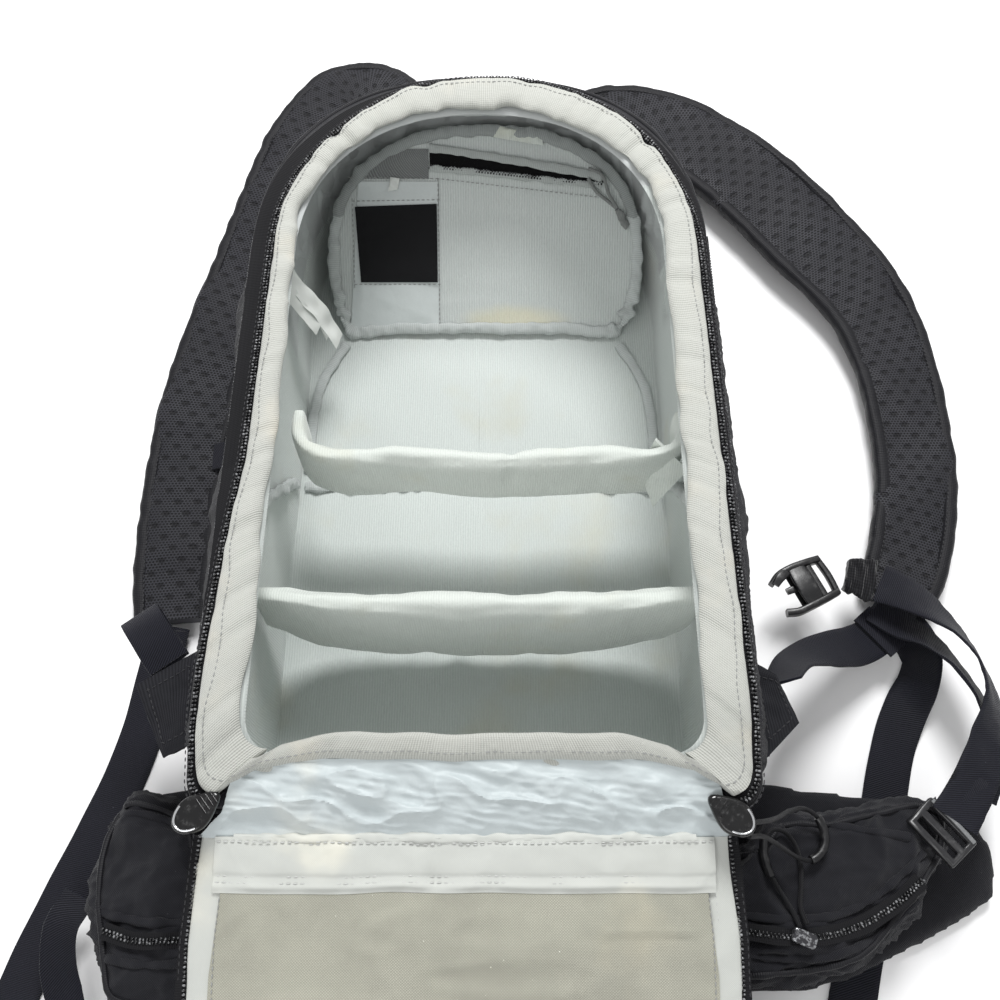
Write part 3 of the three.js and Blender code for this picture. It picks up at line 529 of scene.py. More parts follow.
    @staticmethod
    def ripple(target: bpy.types.Object, *fields: Ripple, mask: np.ndarray | float = 1.0) -> None:
        """Pushes points out along their normals by random fields.

        Args:
            target: the object.
            fields: the fields, added together.
            mask: share of the push at each point.
        """
        points = Maker.points(target)
        push = sum(f(points) for f in fields) * mask
        Maker.move(target, points + Maker.normals(target) * push[:, None])

    @staticmethod
    def join(name: str, parts: list[bpy.types.Object]) -> bpy.types.Object:
        """One object from several, which are removed.

        Args:
            name: the new piece's name.
            parts: the objects, each with its materials.

        Returns:
            The joined object.
        """
        target = parts[0]
        with bpy.context.temp_override(
            active_object=target, object=target, selected_editable_objects=parts
        ):
            bpy.ops.object.join()
        target.name = name
        target.data.name = name
        return target

    @staticmethod
    def finish(
        target: bpy.types.Object, look: "Finish", slot: str, replaces: tuple[str, ...] = (),
    ) -> bpy.types.Object:
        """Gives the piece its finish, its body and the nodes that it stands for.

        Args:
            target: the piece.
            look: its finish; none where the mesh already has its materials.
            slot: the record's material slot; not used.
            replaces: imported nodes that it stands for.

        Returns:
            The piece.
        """
        if look is not None:
            target.data.materials.clear()
            target.data.materials.append(look.material())
        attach(target, "root")
        if replaces:
            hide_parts(*replaces)
        LOG.info("%s: %d faces", target.name, len(target.data.polygons))
        return target


class Weave(Enum):
    """How threads lie in a cloth."""

    PLAIN = "plain"
    RIB = "rib"
    TWILL = "twill"
    MESH = "mesh"
    FLEECE = "fleece"


class Space(Enum):
    """Where a pattern takes its place from."""

    CLOTH = "cloth"
    OBJECT = "object"


class Graph:
    """Short hand for the nodes of one material."""

    def __init__(self, tree: bpy.types.NodeTree) -> None:
        """Keeps the tree."""
        self.tree = tree

    def add(self, kind: str, inputs: dict | None = None, **props: object) -> bpy.types.Node:
        """Adds a node.

        Args:
            kind: its type, without the leading ShaderNode.
            inputs: values or output sockets by input name or number.
            props: the node's own properties.

        Returns:
            The node.
        """
        node = self.tree.nodes.new("ShaderNode" + kind)
        for key, value in props.items():
            setattr(node, key, value)
        for key, value in (inputs or {}).items():
            socket = node.inputs[key]
            if isinstance(value, bpy.types.NodeSocket):
                self.tree.links.new(value, socket)
            else:
                if socket.type == "RGBA" and len(value) == 3:
                    value = (*value, 1.0)
                socket.default_value = value
        return node

    def math(self, how: str, a: object, b: object = 0.0, c: object = 0.0) -> bpy.types.NodeSocket:
        """Result of one math node."""
        return self.add("Math", {0: a, 1: b, 2: c}, operation=how).outputs[0]

    def blend(self, share: object, a: object, b: object) -> bpy.types.NodeSocket:
        """Mixes two colours.

        Args:
            share: how much of the second.
            a: the first colour.
            b: the second colour.

        Returns:
            The mixed colour.
        """
        return self.add("Mix", {0: share, 6: a, 7: b}, data_type="RGBA").outputs[2]

    def noise(
        self, place: object, size: float, detail: float = 3.0, rough: float = 0.55
    ) -> bpy.types.NodeSocket:
        """Noise with features of a size in metres, from 0 to 1."""
        node = self.add(
            "TexNoise", {"Vector": place, "Scale": 1 / size, "Detail": detail, "Roughness": rough}
        )
        return node.outputs["Fac"]

    def ramp(self, value: object, low: float, high: float) -> bpy.types.NodeSocket:
        """Soft step of a value between two limits."""
        given = {"Value": value, "From Min": low, "From Max": high}
        return self.add("MapRange", given, interpolation_type="SMOOTHSTEP").outputs["Result"]

    def wave(self, place: object, pitch: float, shift: object = 0.0) -> bpy.types.NodeSocket:
        """Sine from 0 to 1 along a coordinate in metres."""
        turn = self.math("MULTIPLY_ADD", place, 2 * math.pi / pitch, shift)
        return self.math("MULTIPLY_ADD", self.math("SINE", turn), 0.5, 0.5)

    def lattice(
        self, u: object, v: object, pitch_u: float, pitch_v: float
    ) -> bpy.types.NodeSocket:
        """Distance from the nearest point of a staggered lattice.

        Args:
            u: coordinate across, in metres.
            v: coordinate along, in metres.
            pitch_u: step across.
            pitch_v: step between the staggered rows.

        Returns:
            0 on a point, about 0.5 between points.
        """
        row = self.math("DIVIDE", v, pitch_v)
        odd = self.math("MODULO", self.math("FLOOR", row), 2.0)
        shift = self.math("MULTIPLY_ADD", self.math("ABSOLUTE", odd), 0.5, 0.0)
        col = self.math("ADD", self.math("DIVIDE", u, pitch_u), shift)
        du = self.math("SUBTRACT", self.math("FRACT", col), 0.5)
        dv = self.math("SUBTRACT", self.math("FRACT", row), 0.5)
        square = self.math("MULTIPLY_ADD", du, du, self.math("MULTIPLY", dv, dv))
        return self.math("SQRT", square)


@dataclass(frozen=True)
class Finish:
    """What every finish has: a name and a principled shader."""

    name: str

    def material(self) -> bpy.types.Material:
        """The material, made once.

        Returns:
            The material with its nodes.
        """
        made = bpy.data.materials.get(self.name)
        if made is None:
            made = bpy.data.materials.new(self.name)
            made.use_nodes = True
            graph = Graph(made.node_tree)
            made.node_tree.nodes.clear()
            shader = graph.add("BsdfPrincipled")
            out = graph.add("OutputMaterial")
            made.node_tree.links.new(shader.outputs[0], out.inputs["Surface"])
            self.dress(graph, shader)
        return made

    def dress(self, g: Graph, shader: bpy.types.Node) -> None:
        """Sets the shader's inputs; each kind of finish has its own."""
        raise NotImplementedError


@dataclass(frozen=True)
class Cloth(Finish):
    """Woven, knitted or brushed cloth.

    Colours are linear. pitch is the step of the threads across and along, in millimetres.
    depth is the height of the threads. mottle is how much the colour varies over mottle_mm.
    lint is the share of pale specks, stain a colour for old marks, dimple_mm the step of pits
    darkened as painted shade.
    """

    colour: Vec = (0.5, 0.5, 0.5)
    gap: Vec = (0.3, 0.3, 0.3)
    weave: Weave = Weave.PLAIN
    space: Space = Space.CLOTH
    pitch: tuple[float, float] = (1.4, 1.4)
    depth: float = 0.25
    rough: float = 0.85
    sheen: float = 0.2
    mottle: float = 0.15
    mottle_mm: float = 30.0
    crumple: float = 0.0
    crumple_mm: float = 14.0
    lint: float = 0.0
    stain: Vec | None = None
    stain_at: tuple[float, ...] | None = None
    dimple_mm: float = 0.0

    def threads(self, g: Graph, place: bpy.types.NodeSocket) -> bpy.types.NodeSocket:
        """Height of the threads from 0 to 1.

        Args:
            g: the material's graph.
            place: the coordinate that the pattern follows.

        Returns:
            The height.
        """
        split = g.add("SeparateXYZ", {0: place})
        u, v = split.outputs[0], split.outputs[1]
        wander = g.math("MULTIPLY", g.noise(place, 0.012, 2.0), 3.0)
        pu, pv = self.pitch[0] * MM, self.pitch[1] * MM
        if self.weave is Weave.RIB:
            rib = g.wave(v, pv, wander)
            cross = g.wave(u, pu)
            return g.math("MULTIPLY_ADD", cross, 0.25, g.math("MULTIPLY", rib, 0.75))
        if self.weave is Weave.TWILL:
            slope = g.math("ADD", g.math("DIVIDE", u, pu), g.math("DIVIDE", v, pv))
            return g.wave(slope, 1.0, wander)
        if self.weave is Weave.MESH:
            hole = g.lattice(u, v, pu, pv)
            return g.ramp(hole, 0.2, 0.42)
        if self.weave is Weave.FLEECE:
            rib = g.wave(u, pu, wander)
            fuzz = g.noise(place, 0.0016, 4.0, 0.7)
            return g.math("MULTIPLY_ADD", rib, 0.45, g.math("MULTIPLY", fuzz, 0.75))
        a = g.wave(u, pu, wander)
        b = g.wave(v, pv, wander)
        return g.math("ABSOLUTE", g.math("SUBTRACT", a, b))

    @staticmethod
    def boxed(g: Graph, solid: bpy.types.NodeSocket) -> bpy.types.NodeSocket:
        """Flat coordinate of whichever side a face looks to.

        Args:
            g: the material's graph.
            solid: the object's own coordinate.

        Returns:
            The coordinate in metres.
        """
        looks_to = g.add("NewGeometry").outputs["Normal"]
        bare = g.add("VectorMath", {0: looks_to}, operation="ABSOLUTE").outputs[0]
        size = g.add("SeparateXYZ", {0: bare}).outputs
        at = g.add("SeparateXYZ", {0: solid}).outputs
        level = g.math("GREATER_THAN", size[2], 0.6)
        aside = g.math("GREATER_THAN", size[0], size[1])
        upright = g.math("MULTIPLY_ADD", aside, g.math("SUBTRACT", at[1], at[0]), at[0])
        u = g.math("MULTIPLY_ADD", level, g.math("SUBTRACT", at[0], upright), upright)
        v = g.math("MULTIPLY_ADD", level, g.math("SUBTRACT", at[1], at[2]), at[2])
        return g.add("CombineXYZ", {0: u, 1: v}).outputs[0]

    def dress(self, g: Graph, shader: bpy.types.Node) -> None:
        """Weave, variation, lint, old marks and painted shade in the dimples.

        Args:
            g: the material's graph.
            shader: its principled shader.
        """
        solid = g.add("TexCoord").outputs["Object"]
        if self.space is Space.CLOTH:
            place = g.add("UVMap", uv_map="Weave").outputs[0]
        else:
            place = self.boxed(g, solid)
        height = self.threads(g, place)
        colour = g.blend(height, self.gap, self.colour)
        cloud = g.noise(solid, self.mottle_mm * MM, 4.0, 0.6)
        dark = tuple(c * (1 - 2.0 * self.mottle) for c in self.colour)
        share = g.math("MULTIPLY", g.ramp(cloud, 0.3, 0.75), 0.6)
        colour = g.blend(share, colour, dark)
        if self.stain:
            mark = g.ramp(g.noise(solid, 0.055, 3.0, 0.5), 0.55, 0.78)
            colour = g.blend(g.math("MULTIPLY", mark, 0.55), colour, self.stain)
        if self.stain_at:
            x, y, z, rx, ry, rz = (value * MM for value in self.stain_at)
            middle = g.add("VectorMath", {0: solid, 1: (x, y, z)}, operation="SUBTRACT")
            shares = {0: middle.outputs[0], 1: (rx, ry, rz)}
            scaled = g.add("VectorMath", shares, operation="DIVIDE").outputs[0]
            far = g.add("VectorMath", {0: scaled}, operation="LENGTH").outputs["Value"]
            edge = g.math("ADD", far, g.math("MULTIPLY", cloud, 0.6))
            near = g.math("SUBTRACT", 1.0, g.ramp(edge, 0.7, 1.5))
            colour = g.blend(g.math("MULTIPLY", near, 0.6), colour, (0.64, 0.60, 0.42))
        if self.lint:
            speck = g.ramp(g.noise(solid, 0.0022, 2.0, 0.9), 0.76 - 0.1 * self.lint, 0.8)
            pale = tuple(min(1.0, c * 2.2 + 0.1) for c in self.colour)
            colour = g.blend(g.math("MULTIPLY", speck, 0.7), colour, pale)
        bump = g.math("MULTIPLY", height, self.depth * MM)
        if self.crumple:
            fold = g.noise(solid, self.crumple_mm * MM, 3.0, 0.5)
            bump = g.math("MULTIPLY_ADD", fold, self.crumple * MM, bump)
        if self.dimple_mm:
            split = g.add("SeparateXYZ", {0: place})
            dot = g.lattice(
                split.outputs[0], split.outputs[1], self.dimple_mm * MM, 0.6 * self.dimple_mm * MM
            )
            pit = g.math("SUBTRACT", 1.0, g.ramp(dot, 0.1, 0.3))
            bump = g.math("MULTIPLY_ADD", pit, -0.9 * MM, bump)
            # Painted shade: the colour in each pit is darkened toward black.
            colour = g.blend(g.math("MULTIPLY", pit, 0.75), colour, (0.002, 0.002, 0.003))
        raised = g.add("Bump", {"Strength": 1.0, "Distance": 1.0, "Height": bump})
        g.tree.links.new(colour, shader.inputs["Base Color"])
        g.tree.links.new(raised.outputs[0], shader.inputs["Normal"])
        shade = g.math("MULTIPLY_ADD", height, -0.08, self.rough + 0.04)
        g.tree.links.new(shade, shader.inputs["Roughness"])
        shader.inputs["Sheen Weight"].default_value = self.sheen
        shader.inputs["Sheen Roughness"].default_value = 0.5
        dark = max(self.colour) < 0.05
        shader.inputs["Specular IOR Level"].default_value = 0.22 if dark else 0.3


@dataclass(frozen=True)
class Moulded(Finish):
    """Moulded plastic or plated metal, with fine grain, scuffs and dust; glint mixes in painted
    glints.
    """

    colour: Vec = (0.01, 0.01, 0.01)
    worn: Vec = (0.06, 0.06, 0.06)
    rough: float = 0.3
    metal: float = 0.0
    grain: float = 0.03
    glint: float = 0.0

    def dress(self, g: Graph, shader: bpy.types.Node) -> None:
        """Scuffed colour, painted glints, grain and gloss.

        Args:
            g: the material's graph.
            shader: its principled shader.
        """
        solid = g.add("TexCoord").outputs["Object"]
        scuff = g.ramp(g.noise(solid, 0.004, 5.0, 0.7), 0.5, 0.72)
        colour = g.blend(g.math("MULTIPLY", scuff, 0.5), self.colour, self.worn)
        # Painted glints: pale noise spots mixed into the colour stand for highlights.
        if self.glint:
            painted_glint_spots = g.ramp(g.noise(solid, 0.0019, 1.0), 0.5, 0.62)
            colour = g.blend(g.math("MULTIPLY", painted_glint_spots, self.glint), colour, (0.55, 0.56, 0.58))
        g.tree.links.new(colour, shader.inputs["Base Color"])
        rough = g.math("MULTIPLY_ADD", scuff, 0.18, self.rough)
        g.tree.links.new(rough, shader.inputs["Roughness"])
        shader.inputs["Metallic"].default_value = self.metal
        fine = g.math("MULTIPLY", g.noise(solid, 0.0009, 2.0), self.grain * MM)
        raised = g.add("Bump", {"Strength": 1.0, "Distance": 1.0, "Height": fine})
        g.tree.links.new(raised.outputs[0], shader.inputs["Normal"])


PACK_CLOTH = Cloth(
    "pack_cloth_black", colour=(0.019, 0.0195, 0.025), gap=(0.004, 0.004, 0.006),
    pitch=(1.3, 1.3), depth=0.3, rough=0.8, sheen=0.08, mottle=0.2,
    mottle_mm=24, crumple=2.2, crumple_mm=16, lint=0.15,
)
TAB_CLOTH = Cloth(
    "tab_cloth_black", colour=(0.015, 0.0155, 0.02), gap=(0.003, 0.003, 0.0045),
    weave=Weave.RIB, pitch=(1.2, 1.5), depth=0.25, rough=0.8, sheen=0.05, mottle=0.2, lint=0.15,
)
WEBBING = Cloth(
    "webbing_blue_black", colour=(0.012, 0.0128, 0.022), gap=(0.0012, 0.0012, 0.0025),
    weave=Weave.TWILL, pitch=(2.2, 1.5), depth=0.35, rough=0.62, sheen=0.04, mottle=0.15, lint=0.1,
)
ZIP_TAPE = Cloth(
    "zip_tape_black", colour=(0.006, 0.006, 0.008), gap=(0.002, 0.002, 0.0025),
    weave=Weave.RIB, pitch=(1.0, 1.2), depth=0.15, rough=0.75, sheen=0.04, lint=0.25,
)
AIR_MESH = Cloth(
    "air_mesh_black", colour=(0.028, 0.0285, 0.035), gap=(0.0008, 0.0008, 0.0012),
    weave=Weave.MESH, pitch=(2.6, 2.0), depth=0.8, rough=0.6, sheen=0.04, mottle=0.25,
    mottle_mm=40, crumple=0.8, crumple_mm=30, dimple_mm=15.0,
)
STRAP_EDGE = Cloth(
    "strap_edge_black", colour=(0.011, 0.011, 0.0145), gap=(0.0028, 0.0028, 0.004),
    weave=Weave.RIB, pitch=(1.2, 1.3), depth=0.2, rough=0.5, sheen=0.05, mottle=0.2, lint=0.15,
    crumple=0.4, crumple_mm=9,
)
ELASTIC = Cloth(
    "elastic_black", colour=(0.009, 0.009, 0.012), gap=(0.001, 0.001, 0.0015),
    weave=Weave.RIB, pitch=(2.2, 1.6), depth=0.5, rough=0.95, sheen=0.2, mottle=0.3, lint=0.8,
)
LOOP_LINING = Cloth(
    "loop_lining_pale", colour=(0.60, 0.64, 0.62), gap=(0.40, 0.435, 0.42),
    weave=Weave.FLEECE, space=Space.OBJECT, pitch=(1.7, 1.7), depth=0.35, rough=0.95, sheen=0.35,
    mottle=0.07, mottle_mm=45, stain=(0.50, 0.50, 0.42),
)
DIVIDER_CLOTH = Cloth(
    "divider_fleece_pale", colour=(0.64, 0.68, 0.64), gap=(0.47, 0.50, 0.47),
    weave=Weave.FLEECE, space=Space.OBJECT, pitch=(1.5, 1.5), depth=0.35, rough=0.95, sheen=0.35,
    mottle=0.08, mottle_mm=35, stain=(0.52, 0.52, 0.42), crumple=0.6, crumple_mm=25,
)
END_CLOTH = Cloth(
    "end_panel_loop", colour=(0.60, 0.635, 0.62), gap=(0.38, 0.41, 0.40),
    weave=Weave.FLEECE, space=Space.OBJECT, pitch=(1.9, 1.9), depth=0.45, rough=0.95, sheen=0.3,
    mottle=0.08, mottle_mm=30, stain_at=(24, 129, 31, 42, 13, 12),
)
GUSSET = Cloth(
    "gusset_nylon_grey", colour=(0.52, 0.545, 0.54), gap=(0.42, 0.44, 0.44),
    pitch=(0.9, 0.9), depth=0.05, rough=0.45, sheen=0.3, mottle=0.08, crumple=0.7, crumple_mm=12,
)
SEAM_TAPE = Cloth(
    "seam_tape_pale", colour=(0.54, 0.57, 0.56), gap=(0.36, 0.385, 0.38),
    weave=Weave.RIB, pitch=(1.0, 1.4), depth=0.15, rough=0.75, sheen=0.3, mottle=0.12,
    mottle_mm=14, crumple=0.8, crumple_mm=7,
)
GROSGRAIN = Cloth(
    "grosgrain_off_white", colour=(0.52, 0.53, 0.495), gap=(0.34, 0.345, 0.315),
    weave=Weave.RIB, pitch=(1.1, 1.35), depth=0.3, rough=0.9, sheen=0.25, mottle=0.07,
    mottle_mm=30, stain=(0.62, 0.57, 0.46), crumple=0.9, crumple_mm=9,
)
POCKET_NYLON = Cloth(
    "pocket_nylon_pale", colour=(0.56, 0.60, 0.595), gap=(0.50, 0.535, 0.53),
    pitch=(0.9, 0.9), depth=0.04, rough=0.42, sheen=0.3, mottle=0.08, crumple=1.0, crumple_mm=16,
)
HINGE_NYLON = Cloth(
    "hinge_nylon_white", colour=(0.50, 0.55, 0.56), gap=(0.43, 0.48, 0.49),
    pitch=(0.8, 0.8), depth=0.04, rough=0.3, sheen=0.35, mottle=0.05,
    crumple=0.8, crumple_mm=11, stain=(0.78, 0.76, 0.66),
)
BAND_NYLON = Cloth(
    "band_nylon_white", colour=(0.51, 0.525, 0.495), gap=(0.45, 0.465, 0.44),
    pitch=(1.0, 1.0), depth=0.06, rough=0.45, sheen=0.3, mottle=0.05,
    crumple=1.0, crumple_mm=20, stain=(0.78, 0.75, 0.62),
)
POCKET_MESH = Cloth(
    "pocket_mesh_beige", colour=(0.44, 0.435, 0.365), gap=(0.30, 0.297, 0.245),
    pitch=(1.35, 1.35), depth=0.2, rough=0.8, sheen=0.25, mottle=0.2,
    mottle_mm=35, stain=(0.46, 0.43, 0.33), crumple=0.8, crumple_mm=30, lint=0.2,
)
WINDOW_MESH = Cloth(
    "window_mesh_black", colour=(0.008, 0.008, 0.010), gap=(0.001, 0.001, 0.0015),
    pitch=(1.1, 1.1), depth=0.15, rough=0.8, sheen=0.1, mottle=0.3, crumple=0.5,
)
PATCH_CLOTH = Cloth(
    "patch_cloth_grey", colour=(0.24, 0.25, 0.25), gap=(0.12, 0.125, 0.125),
    weave=Weave.TWILL, pitch=(1.9, 1.9), depth=0.3, rough=0.8, sheen=0.2, mottle=0.2,
)
TAG_CLOTH = Cloth(
    "tag_satin_white", colour=(0.60, 0.62, 0.59), gap=(0.6, 0.62, 0.6),
    pitch=(0.8, 0.8), depth=0.03, rough=0.4, sheen=0.2, mottle=0.05,
)
GREY_CORD = Cloth(
    "cord_braid_grey", colour=(0.26, 0.27, 0.265), gap=(0.12, 0.125, 0.12),
    weave=Weave.TWILL, pitch=(1.4, 1.6), depth=0.2, rough=0.8, sheen=0.2,
)
BLACK_CORD = Cloth(
    "cord_braid_black", colour=(0.008, 0.008, 0.010), gap=(0.001, 0.001, 0.0016),
    weave=Weave.TWILL, pitch=(1.2, 1.4), depth=0.2, rough=0.6, sheen=0.05,
)
WHITE_THREAD = Cloth(
    "thread_white", colour=(0.62, 0.63, 0.61), gap=(0.4, 0.41, 0.4), space=Space.OBJECT,
    weave=Weave.TWILL, pitch=(0.5, 0.5), depth=0.05, rough=0.7,
)
GREY_THREAD = Cloth(
    "thread_grey", colour=(0.36, 0.37, 0.36), gap=(0.2, 0.2, 0.2), space=Space.OBJECT,
    weave=Weave.TWILL, pitch=(0.5, 0.5), depth=0.05, rough=0.7,
)
BLACK_THREAD = Cloth(
    "thread_black", colour=(0.035, 0.035, 0.04), gap=(0.01, 0.01, 0.012), space=Space.OBJECT,
    weave=Weave.TWILL, pitch=(0.5, 0.5), depth=0.05, rough=0.55,
)
TEETH = Moulded(
    "coil_teeth", colour=(0.006, 0.006, 0.007), worn=(0.03, 0.03, 0.033), rough=0.22, glint=0.35,
)
BLACK_PLASTIC = Moulded("acetal_black", colour=(0.003, 0.003, 0.0035), rough=0.18)
SATIN_PLASTIC = Moulded(
    "acetal_satin_black", colour=(0.0045, 0.0045, 0.0055), rough=0.34, grain=0.06
)
# Pale grey for the ladder lock's raised bar: painted highlight along its edge.
HIGHLIGHT_PLASTIC = Moulded(
    "acetal_grey_painted_highlight", colour=(0.16, 0.165, 0.17), worn=(0.30, 0.30, 0.30), rough=0.32, grain=0.05
)
DARK_GREY_PLASTIC = Moulded(
    "acetal_dark_grey", colour=(0.018, 0.018, 0.020), worn=(0.06, 0.06, 0.062), rough=0.3,
    grain=0.05,
)
CHROME = Moulded(
    "plated_ring", colour=(0.75, 0.76, 0.78), worn=(0.45, 0.46, 0.48), rough=0.12, metal=1.0
)
CHROME_BLACK = Moulded(
    "slider_plated", colour=(0.05, 0.05, 0.055), worn=(0.5, 0.5, 0.52), rough=0.2, metal=0.6,
    glint=0.5,
)
# Darker copy of the seam tape for the upper part of the arch seam: painted shade.
SHADED_ARCH_TAPE = replace(
    SEAM_TAPE, name="arch_tape_painted_shade", colour=(0.33, 0.35, 0.345), gap=(0.20, 0.215, 0.21),
)
# Darker grey than the lining, for the lips of the slit: painted shade.
SHADED_HEM_CLOTH = replace(
    SEAM_TAPE, name="hem_cloth_painted_shade", colour=(0.42, 0.445, 0.435), gap=(0.28, 0.30, 0.29),
)
BOXED_PACK = replace(PACK_CLOTH, name="pack_cloth_boxed", space=Space.OBJECT)
BOXED_MESH = replace(AIR_MESH, name="air_mesh_boxed", space=Space.OBJECT, dimple_mm=0.0)
# Near-black colour for openings: painted shade.
PAINTED_SHADE = Cloth(
    "painted_shade_gap", colour=(0.004, 0.004, 0.005), gap=(0.001, 0.001, 0.001), space=Space.OBJECT,
    rough=0.95, sheen=0.0,
)


class PathRepeat:
    """Geometry Nodes tree that sets one small rounded shape at even steps along paths."""

    NAME = "repeat_on_path"

    @classmethod
    def tree(cls) -> bpy.types.NodeTree:
        """The tree, built once.

        Returns:
            The node group with inputs Spacing, Size, Jitter and Material.
        """
        found = bpy.data.node_groups.get(cls.NAME)
        if found:
            return found
        tree = bpy.data.node_groups.new(cls.NAME, "GeometryNodeTree")
        for name, way, kind in (
            ("Geometry", "INPUT", "Geometry"), ("Spacing", "INPUT", "Float"),
            ("Size", "INPUT", "Vector"), ("Jitter", "INPUT", "Float"),
            ("Material", "INPUT", "Material"), ("Geometry", "OUTPUT", "Geometry"),
        ):
            tree.interface.new_socket(name, in_out=way, socket_type="NodeSocket" + kind)
        nodes, links = tree.nodes, tree.links
        given = nodes.new("NodeGroupInput")
        result = nodes.new("NodeGroupOutput")
        curve = nodes.new("GeometryNodeMeshToCurve")
        even = nodes.new("GeometryNodeResampleCurve")
        even.mode = "LENGTH"
        cube = nodes.new("GeometryNodeMeshCube")
        cube.inputs["Size"].default_value = (1, 1, 1)
        round_off = nodes.new("GeometryNodeSubdivisionSurface")
        round_off.inputs["Level"].default_value = 1
        tangent = nodes.new("GeometryNodeInputTangent")
        above = nodes.new("GeometryNodeInputNamedAttribute")
        above.data_type = "FLOAT_VECTOR"
        above.inputs["Name"].default_value = "up"
        first = nodes.new("FunctionNodeAlignRotationToVector")
        first.axis = "X"
        second = nodes.new("FunctionNodeAlignRotationToVector")
        second.axis = "Z"
        second.pivot_axis = "X"
        spread = nodes.new("FunctionNodeRandomValue")
        spread.data_type = "FLOAT_VECTOR"
        spread.inputs["Seed"].default_value = 7
        low = nodes.new("ShaderNodeMath")
        low.operation = "SUBTRACT"
        low.inputs[0].default_value = 1.0
        high = nodes.new("ShaderNodeMath")
        high.operation = "ADD"
        high.inputs[0].default_value = 1.0
        scale = nodes.new("ShaderNodeVectorMath")
        scale.operation = "MULTIPLY"
        place = nodes.new("GeometryNodeInstanceOnPoints")
        real = nodes.new("GeometryNodeRealizeInstances")
        soft = nodes.new("GeometryNodeSetShadeSmooth")
        paint = nodes.new("GeometryNodeSetMaterial")
        for source, target in (
            (given.outputs["Geometry"], curve.inputs["Mesh"]),
            (curve.outputs[0], even.inputs["Curve"]),
            (given.outputs["Spacing"], even.inputs["Length"]),
            (cube.outputs["Mesh"], round_off.inputs["Mesh"]),
            (tangent.outputs[0], first.inputs["Vector"]),
            (first.outputs[0], second.inputs["Rotation"]),
            (above.outputs[0], second.inputs["Vector"]), (given.outputs["Jitter"], low.inputs[1]),
            (given.outputs["Jitter"], high.inputs[1]), (low.outputs[0], spread.inputs["Min"]),
            (high.outputs[0], spread.inputs["Max"]), (given.outputs["Size"], scale.inputs[0]),
            (spread.outputs["Value"], scale.inputs[1]), (even.outputs[0], place.inputs["Points"]),
            (round_off.outputs[0], place.inputs["Instance"]),
            (second.outputs[0], place.inputs["Rotation"]),
            (scale.outputs[0], place.inputs["Scale"]), (place.outputs[0], real.inputs[0]),
            (real.outputs[0], soft.inputs[0]), (soft.outputs[0], paint.inputs["Geometry"]),
            (given.outputs["Material"], paint.inputs["Material"]),
            (paint.outputs[0], result.inputs[0]),
        ):
            links.new(source, target)
        return tree

    @classmethod
    def run(
        cls, name: str, lines: Lines, spacing: float, size: Vec, look: Finish,
        jitter: float = 0.06,
    ) -> bpy.types.Object:
        """Repeats the shape along lines.

        Args:
            name: the piece's name.
            lines: pairs of points and outward directions, in millimetres.
            spacing: step along the lines.
            size: the shape's size along, across and out of the surface.
            look: its finish.
            jitter: how much the size varies.

        Returns:
            A plain mesh object.
        """
        points = np.vstack([p for p, _ in lines])
        outward = np.vstack([u for _, u in lines])
        edges, start = [], 0
        for line, _ in lines:
            edges += [(start + k, start + k + 1) for k in range(len(line) - 1)]
            start += len(line)
        data = bpy.data.meshes.new(name)
        data.from_pydata((points * MM).tolist(), edges, [])
        layer = data.attributes.new("up", "FLOAT_VECTOR", "POINT")
        layer.data.foreach_set("vector", outward.astype(np.float32).ravel())
        made = bpy.data.objects.new(name, data)
        bpy.context.scene.collection.objects.link(made)
        tree = cls.tree()
        modifier = made.modifiers.new("repeat", "NODES")
        modifier.node_group = tree
        values = {
            "Spacing": spacing * MM, "Size": tuple(1.18 * s * MM for s in size), "Jitter": jitter,
            "Material": look.material(),
        }
        for item in tree.interface.items_tree:
            if item.in_out == "INPUT" and item.name in values:
                modifier[item.identifier] = values[item.name]
        return Maker.bake(made)


@dataclass(frozen=True)
class Seam:
    """A row of stitches."""

    look: Finish
    length: float = 2.5
    gap: float = 1.1
    thick: float = 0.75

    def sew(self, name: str, slot: str, lines: Lines) -> bpy.types.Object:
        """Makes the stitches along lines on a surface.

        Args:
            name: the piece's name.
            slot: the record's material slot.
            lines: pairs of points and outward directions.

        Returns:
            The piece.
        """
        size = (self.length, self.thick, self.thick * 0.8)
        made = PathRepeat.run(name, lines, self.length + self.gap, size, self.look, 0.1)
        return Maker.finish(made, None, slot)


WHITE_SEAM = Seam(WHITE_THREAD)
GREY_SEAM = Seam(GREY_THREAD)
BLACK_SEAM = Seam(BLACK_THREAD, thick=0.7)


